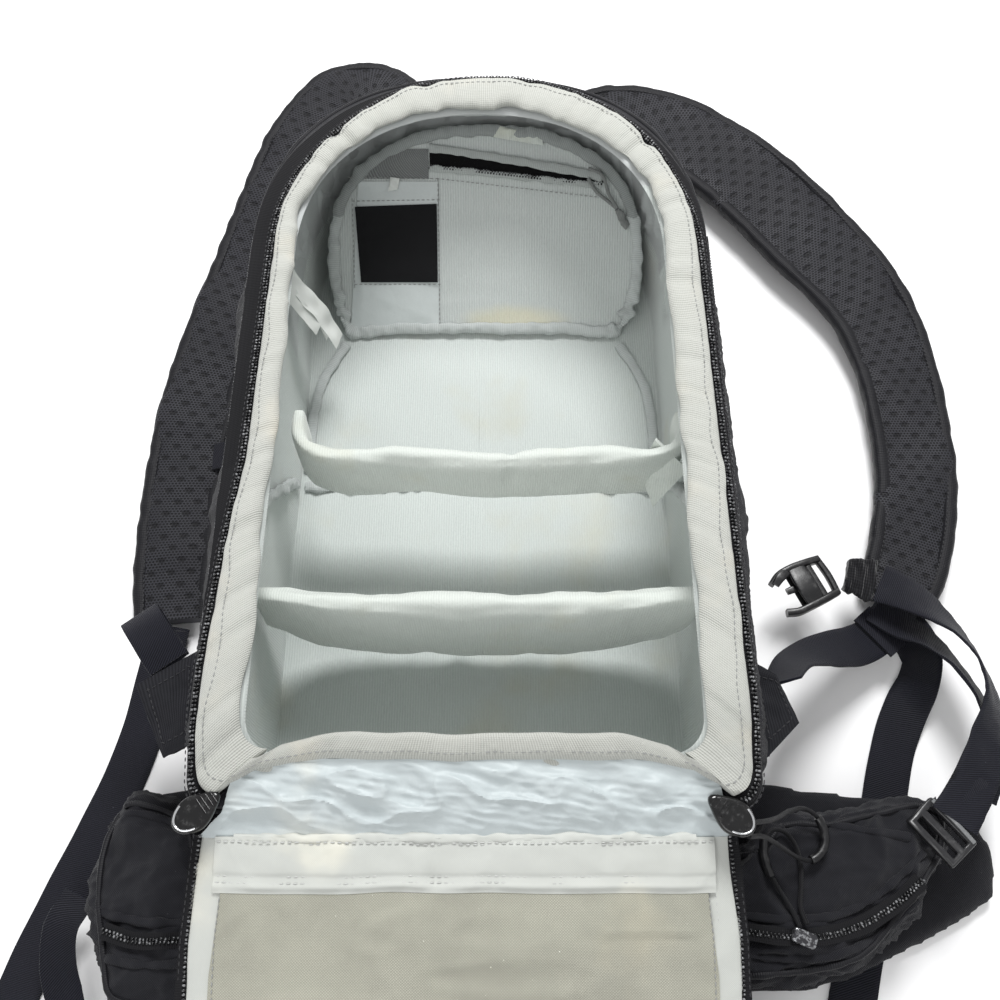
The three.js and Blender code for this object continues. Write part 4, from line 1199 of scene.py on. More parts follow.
@dataclass(frozen=True)
class Puff:
    """Swells a closed form like filled cloth, by a short simulation under pressure."""

    voxel: float = 4.5
    pressure: float = 4.0
    cap: float = 7.0
    shrink: float = 1.2
    levels: int = 1
    soften: int = 3
    FRAMES = 20

    def __call__(self, target: bpy.types.Object) -> None:
        """Remeshes, swells and smooths the piece.

        Args:
            target: the closed piece.
        """
        remesh = target.modifiers.new("remesh", "REMESH")
        remesh.mode = "VOXEL"
        remesh.voxel_size = self.voxel * MM
        Maker.bake(target)
        if self.soften:
            soft = target.modifiers.new("soft", "SMOOTH")
            soft.factor = 0.5
            soft.iterations = self.soften
            Maker.bake(target)
        small = Maker.points(target) - Maker.normals(target) * self.shrink
        Maker.move(target, small)
        self.swell(target, small)
        if self.levels:
            finer = target.modifiers.new("finer", "SUBSURF")
            finer.levels = finer.render_levels = self.levels
            Maker.bake(target)
        target.data.shade_smooth()

    def swell(self, target: bpy.types.Object, small: np.ndarray) -> None:
        """Runs the cloth under pressure and keeps the capped result.

        Args:
            target: the piece.
            small: its points before.
        """
        cloth = target.modifiers.new("swell", "CLOTH")
        settings = cloth.settings
        settings.quality = 5
        settings.mass = 0.3
        settings.tension_stiffness = settings.compression_stiffness = 12
        settings.shear_stiffness = 5
        settings.bending_stiffness = 0.4
        settings.use_pressure = True
        settings.uniform_pressure_force = self.pressure
        settings.effector_weights.gravity = 0
        cloth.collision_settings.use_collision = False
        cloth.point_cache.frame_start = 1
        cloth.point_cache.frame_end = self.FRAMES
        scene = bpy.context.scene
        for number in range(1, self.FRAMES + 1):
            scene.frame_set(number)
        graph = bpy.context.evaluated_depsgraph_get()
        shown = target.evaluated_get(graph).to_mesh()
        flat = np.zeros(len(shown.vertices) * 3, np.float32)
        shown.vertices.foreach_get("co", flat)
        target.evaluated_get(graph).to_mesh_clear()
        target.modifiers.clear()
        scene.frame_set(1)
        move = flat.reshape(-1, 3) / MM - small
        far = np.linalg.norm(move, axis=1, keepdims=True)
        Maker.move(target, small + move * np.minimum(1, self.cap / np.maximum(far, 1e-6)))


@dataclass
class Studio:
    """Pale floor, soft lights and the camera at the photograph's angle."""

    floor_z: float = -0.4
    floor_size: float = 9000.0
    camera_at: Vec = (0.013, -0.318, 0.666)
    tilt: float = 25.0
    lens: float = 36.0

    def build(self) -> None:
        """Makes the camera, the floor and the lights."""
        lens = bpy.data.cameras.new("camera")
        lens.lens = self.lens
        lens.sensor_width = 36.0
        camera = bpy.data.objects.new("camera", lens)
        camera.location = self.camera_at
        camera.rotation_euler = (math.radians(self.tilt), 0.0, 0.0)
        bpy.context.scene.collection.objects.link(camera)
        bpy.context.scene.camera = camera
        h = self.floor_size / 2
        corners = np.array([(-h, -h, 0), (h, -h, 0), (h, h, 0), (-h, h, 0)], float)
        corners[:, 2] = self.floor_z
        floor = Maker.mesh("floor", corners, [(0, 1, 2, 3)])
        floor.data.materials.append(self.floor_look())
        self.light("key", (0.15, 0.95, 1.55), (0.0, 0.0, 0.0), 0.7, 34.0)
        self.light("fill", (-0.5, -1.25, 1.25), (0.0, 0.1, 0.05), 1.2, 10.0)
        world = bpy.data.worlds.new("soft_room")
        world.use_nodes = True
        back = world.node_tree.nodes["Background"]
        back.inputs["Color"].default_value = (1.0, 1.0, 1.0, 1.0)
        back.inputs["Strength"].default_value = 0.6
        bpy.context.scene.world = world
        bpy.context.scene.view_settings.view_transform = "Standard"

    @staticmethod
    def floor_look() -> bpy.types.Material:
        """Plain pale floor.

        Returns:
            Its material.
        """
        made = bpy.data.materials.new("floor_pale")
        made.use_nodes = True
        shader = made.node_tree.nodes["Principled BSDF"]
        shader.inputs["Base Color"].default_value = (0.93, 0.93, 0.935, 1.0)
        shader.inputs["Roughness"].default_value = 0.6
        return made

    @staticmethod
    def light(name: str, at: Vec, toward: Vec, size: float, power: float) -> None:
        """One large soft light.

        Args:
            name: its name.
            at: its place in metres.
            toward: the point that it faces.
            size: its width in metres.
            power: its power in watts.
        """
        data = bpy.data.lights.new(name, "AREA")
        data.shape = "DISK"
        data.size = size
        data.energy = power
        made = bpy.data.objects.new(name, data)
        made.location = at
        aim = Vector(toward) - Vector(at)
        made.rotation_euler = aim.to_track_quat("-Z", "Y").to_euler()
        bpy.context.scene.collection.objects.link(made)


LEVELS = "z half end crown sag full"
OUTER = table(
    LEVELS, (12.3, 131.4, -232, 232, 0, 1), (17, 140.9, -240, 248, 0, 1),
    (60, 146, -246, 264, 0, 1), (112, 147.46, -247, 266, 0.1, 1),
    (146, 146.73, -246, 255, 0.85, 0.3), (156, 145.27, -245, 243, 1, 0),
)
INNER = table(
    LEVELS, (20, 131, -236, 242, 0, 1), (25, 133, -238, 246, 0, 1), (60, 135.5, -236, 250, 0, 1),
    (118, 135.5, -232, 252, 0.2, 1), (134, 134, -229, 240, 0.5, 0.75),
    (150, 121.5, -222, 219, 0.95, 0.15), (156, 119.8, -221, 214.5, 1, 0),
)
ROOM_Z = 22.6
RIM_Z = 156.0
TOP_WIDE = 25.5


@dataclass(frozen=True)
class Walls:
    """Outlines of the padded body at any height, in millimetres.

    A place runs round an outline: 0 to 20 is the crown, then the left side to 25, the hinge
    end from 30 to 36 between its corners, and the right side to 46.
    """

    shoulder_y: float = 95.0
    corner: float = 15.0
    crown_power: float = 2.15
    bulge_power: float = 3.2
    rim_sag: float = 26.0
    sag_y: float = -195.0
    sag_run: float = 50.0
    lift: float = 0.5
    turns: int = 46

    @staticmethod
    def level(levels: Table, z: float) -> dict[str, float]:
        """The outline's numbers at a height."""
        return {k: float(np.interp(z, levels["z"], levels[k])) for k in LEVELS.split()} | {"z": z}

    def sag(self, x: np.ndarray, y: np.ndarray) -> np.ndarray:
        """How far the rim drops toward the hinge."""
        drop = self.rim_sag * smooth((self.sag_y - y) / self.sag_run)
        return drop * (1 - self.lift * smooth((np.abs(x) - 104) / 30))

    def ring(self, level: dict[str, float], place: np.ndarray) -> np.ndarray:
        """Points of one outline.

        Args:
            level: the outline's numbers.
            place: places round it.

        Returns:
            Rows of x, y, z.
        """
        place = np.mod(np.asarray(place, float), self.turns)
        half, end, crown = level["half"], level["end"], level["crown"]
        r = self.corner
        power = 2 / lerp(self.crown_power, self.bulge_power, level["full"])
        turn = np.clip(place / 20, 0, 1) * np.pi
        c, s = np.cos(turn), np.sin(turn)
        left = np.clip((place - 20) / 5, 0, 1)
        bend_l = np.pi * (1 + np.clip((place - 25) / 5, 0, 1) / 2)
        sill = np.clip((place - 30) / 6, 0, 1)
        bend_r = np.pi * (1.5 + np.clip((place - 36) / 5, 0, 1) / 2)
        right = np.clip((place - 41) / 5, 0, 1)
        zone = [place < 20, place < 25, place < 30, place < 36, place < 41]
        x = np.select(
            zone,
            [
                half * np.sign(c) * np.abs(c) ** power, np.full_like(place, -half),
                -half + r + r * np.cos(bend_l), lerp(-half + r, half - r, sill),
                half - r + r * np.cos(bend_r),
            ],
            half,
        )
        y = np.select(
            zone,
            [
                self.shoulder_y + (crown - self.shoulder_y) * np.abs(s) ** power,
                lerp(self.shoulder_y, end + r, left), end + r + r * np.sin(bend_l),
                np.full_like(place, end), end + r + r * np.sin(bend_r),
            ],
            lerp(end + r, self.shoulder_y, right),
        )
        return np.stack([x, y, level["z"] - level["sag"] * self.sag(x, y)], axis=1)

    def top(
        self, place: np.ndarray, share: np.ndarray | float, height: np.ndarray | float
    ) -> np.ndarray:
        """Points on the wall's top face, which is TOP_WIDE across.

        Args:
            place: places round it.
            share: 0 at its outer edge, 1 at its inner edge.
            height: height over it.

        Returns:
            Rows of x, y, z.
        """
        out = self.ring(self.level(OUTER, RIM_Z), place)
        inner = self.ring(self.level(INNER, RIM_Z), place)
        share = np.broadcast_to(np.asarray(share, float), len(out))[:, None]
        point = lerp(out, inner, share)
        point[:, 2] += height
        return point

    def even(self, first: float, last: float, step: float) -> np.ndarray:
        """Places at even steps along the rim.

        Args:
            first: where they start.
            last: where they end.
            step: distance between them.

        Returns:
            The places.
        """
        fine = np.linspace(first, last, 4000)
        line = self.top(fine, 0.5, 0.0)
        run = np.concatenate([[0], np.cumsum(np.linalg.norm(np.diff(line, axis=0), axis=1))])
        return np.interp(np.arange(0, run[-1], step), run, fine)

    def half_at(self, level: dict[str, float], y: np.ndarray) -> np.ndarray:
        """Half width of a level along the bag.

        Args:
            level: the outline's numbers.
            y: stations along the bag.

        Returns:
            Half widths.
        """
        y = np.asarray(y, float)
        rise = np.clip((y - self.shoulder_y) / (level["crown"] - self.shoulder_y), 0, 1)
        power = lerp(self.crown_power, self.bulge_power, level["full"])
        into = np.clip((level["end"] + self.corner - y) / self.corner, 0, 1)
        return np.where(
            y > self.shoulder_y, level["half"] * (1 - rise**power) ** (1 / power),
            level["half"] - self.corner * (1 - np.sqrt(1 - into**2)),
        )

    def grid(
        self, levels: Table, heights: np.ndarray, place: np.ndarray, inset: float = 0.0
    ) -> np.ndarray:
        """Rings of an outline table at many heights.

        Args:
            levels: the table.
            heights: the heights.
            place: places round each ring.
            inset: how far each ring moves in.

        Returns:
            An array of heights by places by 3.
        """
        rings = []
        for z in heights:
            level = self.level(levels, float(z))
            level["half"] -= inset
            level["end"] += inset
            level["crown"] -= inset
            rings.append(self.ring(level, place))
        return np.array(rings)


WALLS = Walls()


@dataclass
class BodyShell:
    """Padded black shell: outer cloth, flange along the zip and piping round the foot."""

    columns: int = 300

    def build(self) -> None:
        """Makes the shell, its piping and its stitches."""
        place = np.linspace(0, WALLS.turns, self.columns, endpoint=False)
        heights = np.concatenate(
            [np.linspace(12.3, 17, 4), np.linspace(20, 140, 32), np.linspace(142, 156, 8)]
        )
        rings = WALLS.grid(OUTER, heights, place)
        rings = self.crease(rings)
        middle = np.array([0.0, 10.0, 0.0])
        foot = [lerp(rings[0], rings[0] * (0, 0.7, 1) + middle * 0.3, s)
                for s in (0.95, 0.6, 0.3, 0.1)]
        inner = WALLS.grid(INNER, np.array([156.0, 150.0, 134.0, 118.0, 60.0, 25.0, 20.0]), place)
        floor = [lerp(inner[-1], inner[-1] * (0, 0.7, 1) + middle * 0.3, s)
                 for s in (0.3, 0.6, 0.95)]
        stack = np.concatenate([np.array(foot[::-1]), rings, inner, np.array(floor)])
        shell = Maker.skin("shell_cloth", stack, sharp=70)
        Maker.finish(shell, PACK_CLOTH, "pack_cloth", ("body_shell",))
        self.piping(place)

    def crease(self, rings: np.ndarray) -> np.ndarray:
        """Sags and creases of the outer cloth, none at its edges.

        Args:
            rings: heights by places by 3.

        Returns:
            The moved rings.
        """
        z = rings[..., 2]
        free = smooth((z - 16) / 25) * smooth((150 - z) / 25)
        normal = unit(np.cross(np.roll(rings, -1, axis=1) - np.roll(rings, 1, axis=1), UP))
        fields = (Ripple(11, 120, 2.2, (1, 1, 0.6)), Ripple(12, 46, 0.9, (1, 1, 2.5), crease=0.5))
        push = sum(f(rings) for f in fields) * free - 1.2 * free
        return rings + normal * push[..., None]

    def piping(self, place: np.ndarray) -> None:
        """Bound piping round the foot and the top edge, with a row of stitches each.

        Args:
            place: places round the outline.
        """
        for name, z, size in (("foot_piping", 17.5, 4.4), ("top_piping", 147.0, 3.4)):
            ring = WALLS.ring(WALLS.level(OUTER, z), place)
            rows = rows_of(ring)
            pipe = Sweep(rows, size, size, loop=True)
            made = Maker.skin(name, pipe.rings(oval(2, 10), 420), loop=True)
            Maker.ripple(made, Ripple(13, 22, 0.35))
            Maker.finish(made, STRAP_EDGE, "pack_cloth")
        fine = np.linspace(0, WALLS.turns, 900)
        rows = []
        for z in (24.0, 141.5):
            line = WALLS.ring(WALLS.level(OUTER, z), fine)
            normal = unit(np.cross(np.gradient(line, axis=0), UP))
            rows.append((line + normal * 0.4, normal))
        BLACK_SEAM.sew("shell_stitches", "pack_cloth", rows)


@dataclass
class ZipCoil:
    """One or both rows of a coil zip on their tapes."""

    pitch: float = 2.15
    bead: Vec = (1.55, 1.9, 1.7)

    def teeth(self, name: str, rows: Lines) -> bpy.types.Object:
        """Rows of coil loops.

        Args:
            name: the piece's name.
            rows: pairs of points and outward directions.

        Returns:
            The piece.
        """
        made = PathRepeat.run(name, rows, self.pitch, self.bead, TEETH, 0.05)
        return Maker.finish(made, None, "zip_tape")

    def pair(self, line: np.ndarray, up: np.ndarray, across: np.ndarray, apart: float) -> Lines:
        """Two rows beside each other, half a step apart.

        Args:
            line: the middle between them.
            up: outward directions.
            across: directions from one row to the other.
            apart: distance between them.

        Returns:
            Both rows.
        """
        step = unit(np.gradient(line, axis=0)) * self.pitch * 0.5
        return [(line - across * apart / 2, up), (line + across * apart / 2 + step, up)]


COIL = ZipCoil()


@dataclass
class Rim:
    """Zip tape, coil, padded binding and the binding at the hinge end."""

    lines: Table = field(
        default_factory=lambda: table(
            "place coil inner",
            (0, 0.20, 1.10), (2.5, 0.32, 1.12), (6, 0.16, 1.12), (9, 0.05, 1.10),
            (12, 0.16, 1.10), (14, 0.38, 1.12), (16, 0.52, 1.14), (20, 0.52, 1.14),
            (22.4, 0.46, 1.12), (23.2, 0.26, 1.08), (24.2, 0.10, 1.06), (27, 0.05, 1.08),
            (38, 0.05, 1.08), (41, 0.08, 1.08), (46, 0.20, 1.10),
        )
    )
    bind_high: float = 8.5
    seat: float = 1.5

    @staticmethod
    def sway(points: np.ndarray) -> np.ndarray:
        """How far the binding wanders inward."""
        return Ripple(31, 70, 1.4)(points) + Ripple(32, 24, 0.9)(points)

    def coil(self, place: np.ndarray) -> np.ndarray:
        """Share of the wall's thickness at which the coil lies."""
        return np.interp(np.mod(place, WALLS.turns), self.lines["place"], self.lines["coil"])

    def inner(self, place: np.ndarray) -> np.ndarray:
        """Share at which the binding's inner edge lies."""
        return np.interp(np.mod(place, WALLS.turns), self.lines["place"], self.lines["inner"])

    def build(self) -> None:
        """Makes every piece of the rim."""
        self.zip_tape()
        self.binding()
        self.sill()

    def zip_tape(self) -> None:
        """Tape with a raised outer edge and a double row of coil loops."""
        place = WALLS.even(36.6, 75.4, 2.5)
        wave = Ripple(21, 60, 0.5)(WALLS.top(place, 0.3, 0.0))
        low = 1.2
        coil = self.coil(place)
        outer = np.minimum(0.02, coil - 0.05)
        profile = [(outer, low), (outer, 2.6), (coil - 0.09, 2.9), (coil - 0.06, 4.3),
                   (coil + 0.05, 4.3), (coil + 0.09, 3.0), (coil + 0.20, 3.2), (coil + 0.24, low)]
        rings = np.stack([WALLS.top(place, s, h + wave * (h > 2)) for s, h in profile], axis=1)
        tape = Maker.skin("rim_tape", rings, sharp=60)
        Maker.finish(tape, ZIP_TAPE, "zip_tape", ("rim_zip_tape",))
        line = WALLS.top(place, coil, 4.9 + wave)
        inner = WALLS.top(place, coil + 0.2, 4.9 + wave)
        across = unit(inner - line)
        COIL.teeth("rim_coil", COIL.pair(line, ups(len(place)), across, 1.9))
        fine = WALLS.even(37.5, 74.5, 2.0)
        outside = WALLS.top(fine, self.coil(fine) - 0.13, 3.3)
        BLACK_SEAM.sew("rim_tape_stitches", "zip_tape", [(outside, ups(len(fine)))])

    def kink(self, place: np.ndarray) -> np.ndarray:
        """How strongly the binding is pinched at its two corners of the crown.

        Args:
            place: places round the rim.

        Returns:
            Shares from 0 to 1.
        """
        marks = ((4.1, 0.28, 1.0), (15.2, 0.28, 1.0), (8.6, 0.35, 0.45), (11.6, 0.3, 0.45))
        turned = np.mod(place, WALLS.turns)
        return sum(d * np.exp(-(((turned - m) / w) ** 2)) for m, w, d in marks)

    def binding(self) -> None:
        """Padded ribbed binding round the mouth, wavy, pinched at the crown's corners."""
        place = WALLS.even(36.9, 75.1, 1.5)
        base = WALLS.top(place, 0.75, 0.0)
        pinch = self.kink(place)
        sway = self.sway(base)
        swell = Ripple(33, 34, 0.9)(base) + Ripple(34, 13, 0.7, crease=0.4)(base)
        low, high = self.coil(place) + 0.11, self.inner(place)
        middle, half = (low + high) / 2, (high - low) / 2
        turned = np.mod(place, WALLS.turns)
        crown = smooth((17 - np.abs(turned - 10)) / 8) * (turned < 21)
        scallop = crown * Ripple(35, 30, 1.7, crease=0.5)(base) / TOP_WIDE
        rings = []
        for u, v in oval(2.8, 22):
            share = middle + half * u * (1 - 0.2 * pinch) + (sway / TOP_WIDE) * (u > -0.9)
            share = share + scallop * max(0.0, u)
            rise = self.bind_high * (1 - 0.38 * pinch) + swell
            height = self.seat + rise * (0.5 + 0.5 * v)
            lean = 1.2 * np.maximum(0, u) * (v > 0)
            rings.append(WALLS.top(place, share, height - lean))
        made = Maker.skin("rim_ribbed_binding", np.stack(rings, axis=1), sharp=80)
        Maker.finish(made, GROSGRAIN, "grosgrain", ("rim_binding",))
        fine = WALLS.even(37.2, 74.8, 1.6)
        anchor = WALLS.top(fine, 0.75, 0.0)
        shift = self.sway(anchor) / TOP_WIDE
        pinch = self.kink(fine)
        level = self.seat + self.bind_high * (0.90 - 0.36 * pinch)
        level = level + Ripple(33, 34, 0.9)(anchor) + 0.8
        share = lerp(self.coil(fine) + 0.11, self.inner(fine), 0.24) + shift
        sewn = [(WALLS.top(fine, share, level), ups(len(fine)))]
        GREY_SEAM.sew("binding_stitches", "grosgrain", sewn)

    @staticmethod
    def sill_at(place: np.ndarray) -> np.ndarray:
        """Share at which the hinge end's binding lies, nearer the edge at its corners."""
        return 1.19 - 0.55 * smooth((np.abs(place - 33) - 2.2) / 1.9)

    def sill(self) -> None:
        """Binding of the hinge end, sagging into the room, with its sewn-down flap."""
        place = WALLS.even(28.9, 37.1, 1.5)
        base = WALLS.top(place, 1.19, 0.0)
        line = self.sill_at(place)
        sway = Ripple(41, 45, 0.7)(base)
        swell = Ripple(42, 30, 0.7)(base) + Ripple(43, 12, 0.3)(base)
        rings = []
        for u, v in oval(2.6, 22):
            share = line + 0.26 * u + sway / TOP_WIDE
            height = 2.2 + (self.bind_high + swell) * (0.5 + 0.5 * v)
            rings.append(WALLS.top(place, share, height))
        made = Maker.skin("hinge_ribbed_binding", np.stack(rings, axis=1), sharp=80)
        Maker.finish(made, GROSGRAIN, "grosgrain", ("hinge_binding",))
        fine = WALLS.even(29.1, 36.9, 1.6)
        anchor = WALLS.top(fine, 1.19, 0.0)
        rise = 2.3 + self.bind_high * 0.95 + Ripple(42, 30, 0.7)(anchor)
        share = self.sill_at(fine) - 0.13 + Ripple(41, 45, 0.7)(anchor) / TOP_WIDE
        sewn = [(WALLS.top(fine, share, rise), ups(len(fine)))]
        GREY_SEAM.sew("hinge_binding_stitches", "grosgrain", sewn)
        edge = WALLS.even(29.6, 36.4, 2.0)
        outline = WALLS.top(edge, 0.97, 0.0)
        sway = Ripple(44, 26, 0.5)(outline)
        profile = ((0.70, 3.2), (0.80, 4.4), (0.90, 5.2), (1.02, 5.6))
        grid = np.stack([WALLS.top(edge, s + sway / TOP_WIDE, h) for s, h in profile], axis=1)
        flap = Maker.sheet("hinge_flap", grid, 1.2)
        Maker.finish(flap, GROSGRAIN, "grosgrain")


def tube(
    name: str, rows: Table, wide: float, high: float, look: Finish, slot: str,
    replaces: tuple[str, ...] = (), side: Vec | None = None, matrix: Matrix | None = None,
    loop: bool = False, wave: float = 0.5,
) -> bpy.types.Object:
    """Soft bound seam: a flattened tube along a path, slightly puckered.

    Args:
        name: the piece's name.
        rows: the path's table.
        wide: width in millimetres.
        high: height in millimetres.
        look: its finish.
        slot: the record's material slot.
        replaces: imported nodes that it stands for.
        side: fixed direction of the width.
        matrix: frame of the table, if not the bag's.
        loop: whether the path is closed.
        wave: depth of the puckers in millimetres.

    Returns:
        The piece.
    """
    path = Sweep(rows, wide, high, side=side, matrix=matrix, loop=loop)
    length = path.frames(200)["run"][-1]
    rings = path.rings(oval(2.4, 14), max(24, int(length / 1.5)))
    made = Maker.skin(name, rings, loop=loop, sharp=80)
    Maker.ripple(made, Ripple(61, 16, wave), Ripple(62, 6, 0.4 * wave))
    return Maker.finish(made, look, slot, replaces)


END_FRAME = Matrix.Translation((0, 119, ROOM_Z)) @ Matrix.Rotation(math.atan2(93, 120), 4, "X")


def placed(points: np.ndarray, matrix: Matrix) -> np.ndarray:
    """Points of a local frame in the bag's frame."""
    return points @ np.array(matrix.to_3x3()).T + np.array(matrix.translation)


def facing(matrix: Matrix) -> np.ndarray:
    """Direction out of a local frame's own plane."""
    return np.array(matrix.to_3x3() @ Vector((0, 0, 1)))


@dataclass
class Lining:
    """Brushed lining of the room with its nylon gusset round the crown and its bound seams."""

    columns: int = 360
    gap: float = 0.5
    thick: float = 2.0

    def build(self) -> None:
        """Makes the lining and every seam on it."""
        place = np.linspace(0, WALLS.turns, self.columns, endpoint=False)
        inset = self.gap + self.thick
        down = np.concatenate([np.linspace(155.4, 120, 16), np.linspace(116, 24.5, 26)])
        inner = WALLS.grid(INNER, down, place, inset)
        inner = self.pucker(inner)
        middle = np.array([0.0, 10.0, 0.0])
        outer = WALLS.grid(INNER, np.array([20.3, 25, 60, 118, 134, 150, 155.7]), place, self.gap)
        low = [lerp(outer[0], outer[0] * (0, 0.62, 1) + middle * 0.38, s) for s in (0.98, 0.5)]
        base = WALLS.grid(INNER, np.array([22.3]), place, inset)[0]
        floor = [lerp(base, base * (0, 0.62, 1) + middle * 0.38, s)
                 for s in (*np.linspace(0, 0.96, 22), 0.985)]
        floor = np.array(floor)
        floor[..., 2] += Ripple(52, 70, 0.5)(floor) * (np.arange(23) > 1)[:, None]
        lip = np.array([WALLS.top(place, 0.78, 0.9), WALLS.top(place, 1.02, 0.9)])
        stack = np.concatenate([np.array(low), outer, lip, inner, floor])
        made = Maker.skin("room_lining", stack, sharp=70)
        made.data.materials.append(LOOP_LINING.material())
        made.data.materials.append(GUSSET.material())
        for face in made.data.polygons:
            x, y, z = (c / MM for c in face.center)
            face.material_index = int(y > (72 if x < 0 else 148) and z > 60)
        Maker.finish(made, None, "loop_lining", ("lining",))
        self.seams()
        self.tags()

    def pucker(self, inner: np.ndarray) -> np.ndarray:
        """Soft unevenness of the walls and gathered folds in the nylon at the crown.

        Args:
            inner: rings of the lining's face.

        Returns:
            The moved rings.
        """
        normal = unit(np.cross(UP, np.roll(inner, -1, axis=1) - np.roll(inner, 1, axis=1)))
        free = smooth((150 - inner[..., 2]) / 30)
        crown = smooth((inner[..., 1] - 70) / 60) * (inner[..., 2] > 60)
        soft = Ripple(53, 95, 1.3)(inner) * free
        folds = Ripple(54, 26, 3.2, (1, 1, 1.6), crease=0.6)(inner) + Ripple(55, 11, 0.8)(inner)
        push = soft + folds * crown * smooth((154 - inner[..., 2]) / 8)
        return inner + normal * push[..., None]

    def seams(self) -> None:
        """Bound seams along the floor, up the walls and across."""
        for name, side in (("left", -1), ("right", 1)):
            foot = ((104, 112), (112, 97), (120, 78), (124, 52), (124, 4))
            rows = table("x y z", *((side * x, y, 23.9) for x, y in foot))
            tube(f"floor_seam_{name}_bound", rows, 7.5, 4.2, SEAM_TAPE, "nylon_tape",
                 (f"floor_seam_{name}",))
            points = []
            for z, y in ((34, -10), (60, -26), (96, -50), (136, -80)):
                level = WALLS.level(INNER, z)
                half = float(WALLS.half_at(level, np.array([y]))[0]) - 2.5
                points.append((side * (half - 2.2), y, z))
            tube(f"wall_seam_{name}_bound", table("x y z", *points), 8.5, 4.6, SEAM_TAPE,
                 "nylon_tape", (f"wall_seam_{name}",), side=(0, 1, 0.6), wave=1.1)
        tube("cross_seam_bound", table("x y z", (-126, -8, 23.8), (0, -5, 23.8), (126, -8, 23.8)),
             9.0, 5.0, SEAM_TAPE, "nylon_tape", ("cross_seam",), wave=1.2)

    def tags(self) -> None:
        """Bare white care tags that curl off the left wall, as thin sheets."""
        sets = (
            ("front", 13, ((-129, 97, 127), (-121, 95, 113), (-110, 89, 96), (-100, 80, 76))),
            ("middle", 12, ((-129, 101, 126), (-123, 99, 108), (-115, 95, 90), (-108, 89, 73))),
            ("back", 10.5, ((-130, 91, 128), (-125, 88, 116), (-119, 84, 104), (-112, 80, 92))),
        )
        for index, (name, width, points) in enumerate(sets):
            path = Sweep(table("x y z", *points), width, 0.5, side=(0.3, 0.95, 0.1 * index))
            f = path.frames(26)
            across = np.linspace(-1, 1, 9)[None, :, None]
            curl = Ripple(71 + index, 14, 1.0)
            grid = f["at"][:, None] + f["across"][:, None] * f["half"][:, None] * across
            grid = grid + f["normal"][:, None] * curl(grid)[..., None]
            made = Maker.sheet("care_tag_" + name, grid, 0.35)
            Maker.finish(made, TAG_CLOTH, "white_nylon", ("care_tag",) if index == 0 else ())


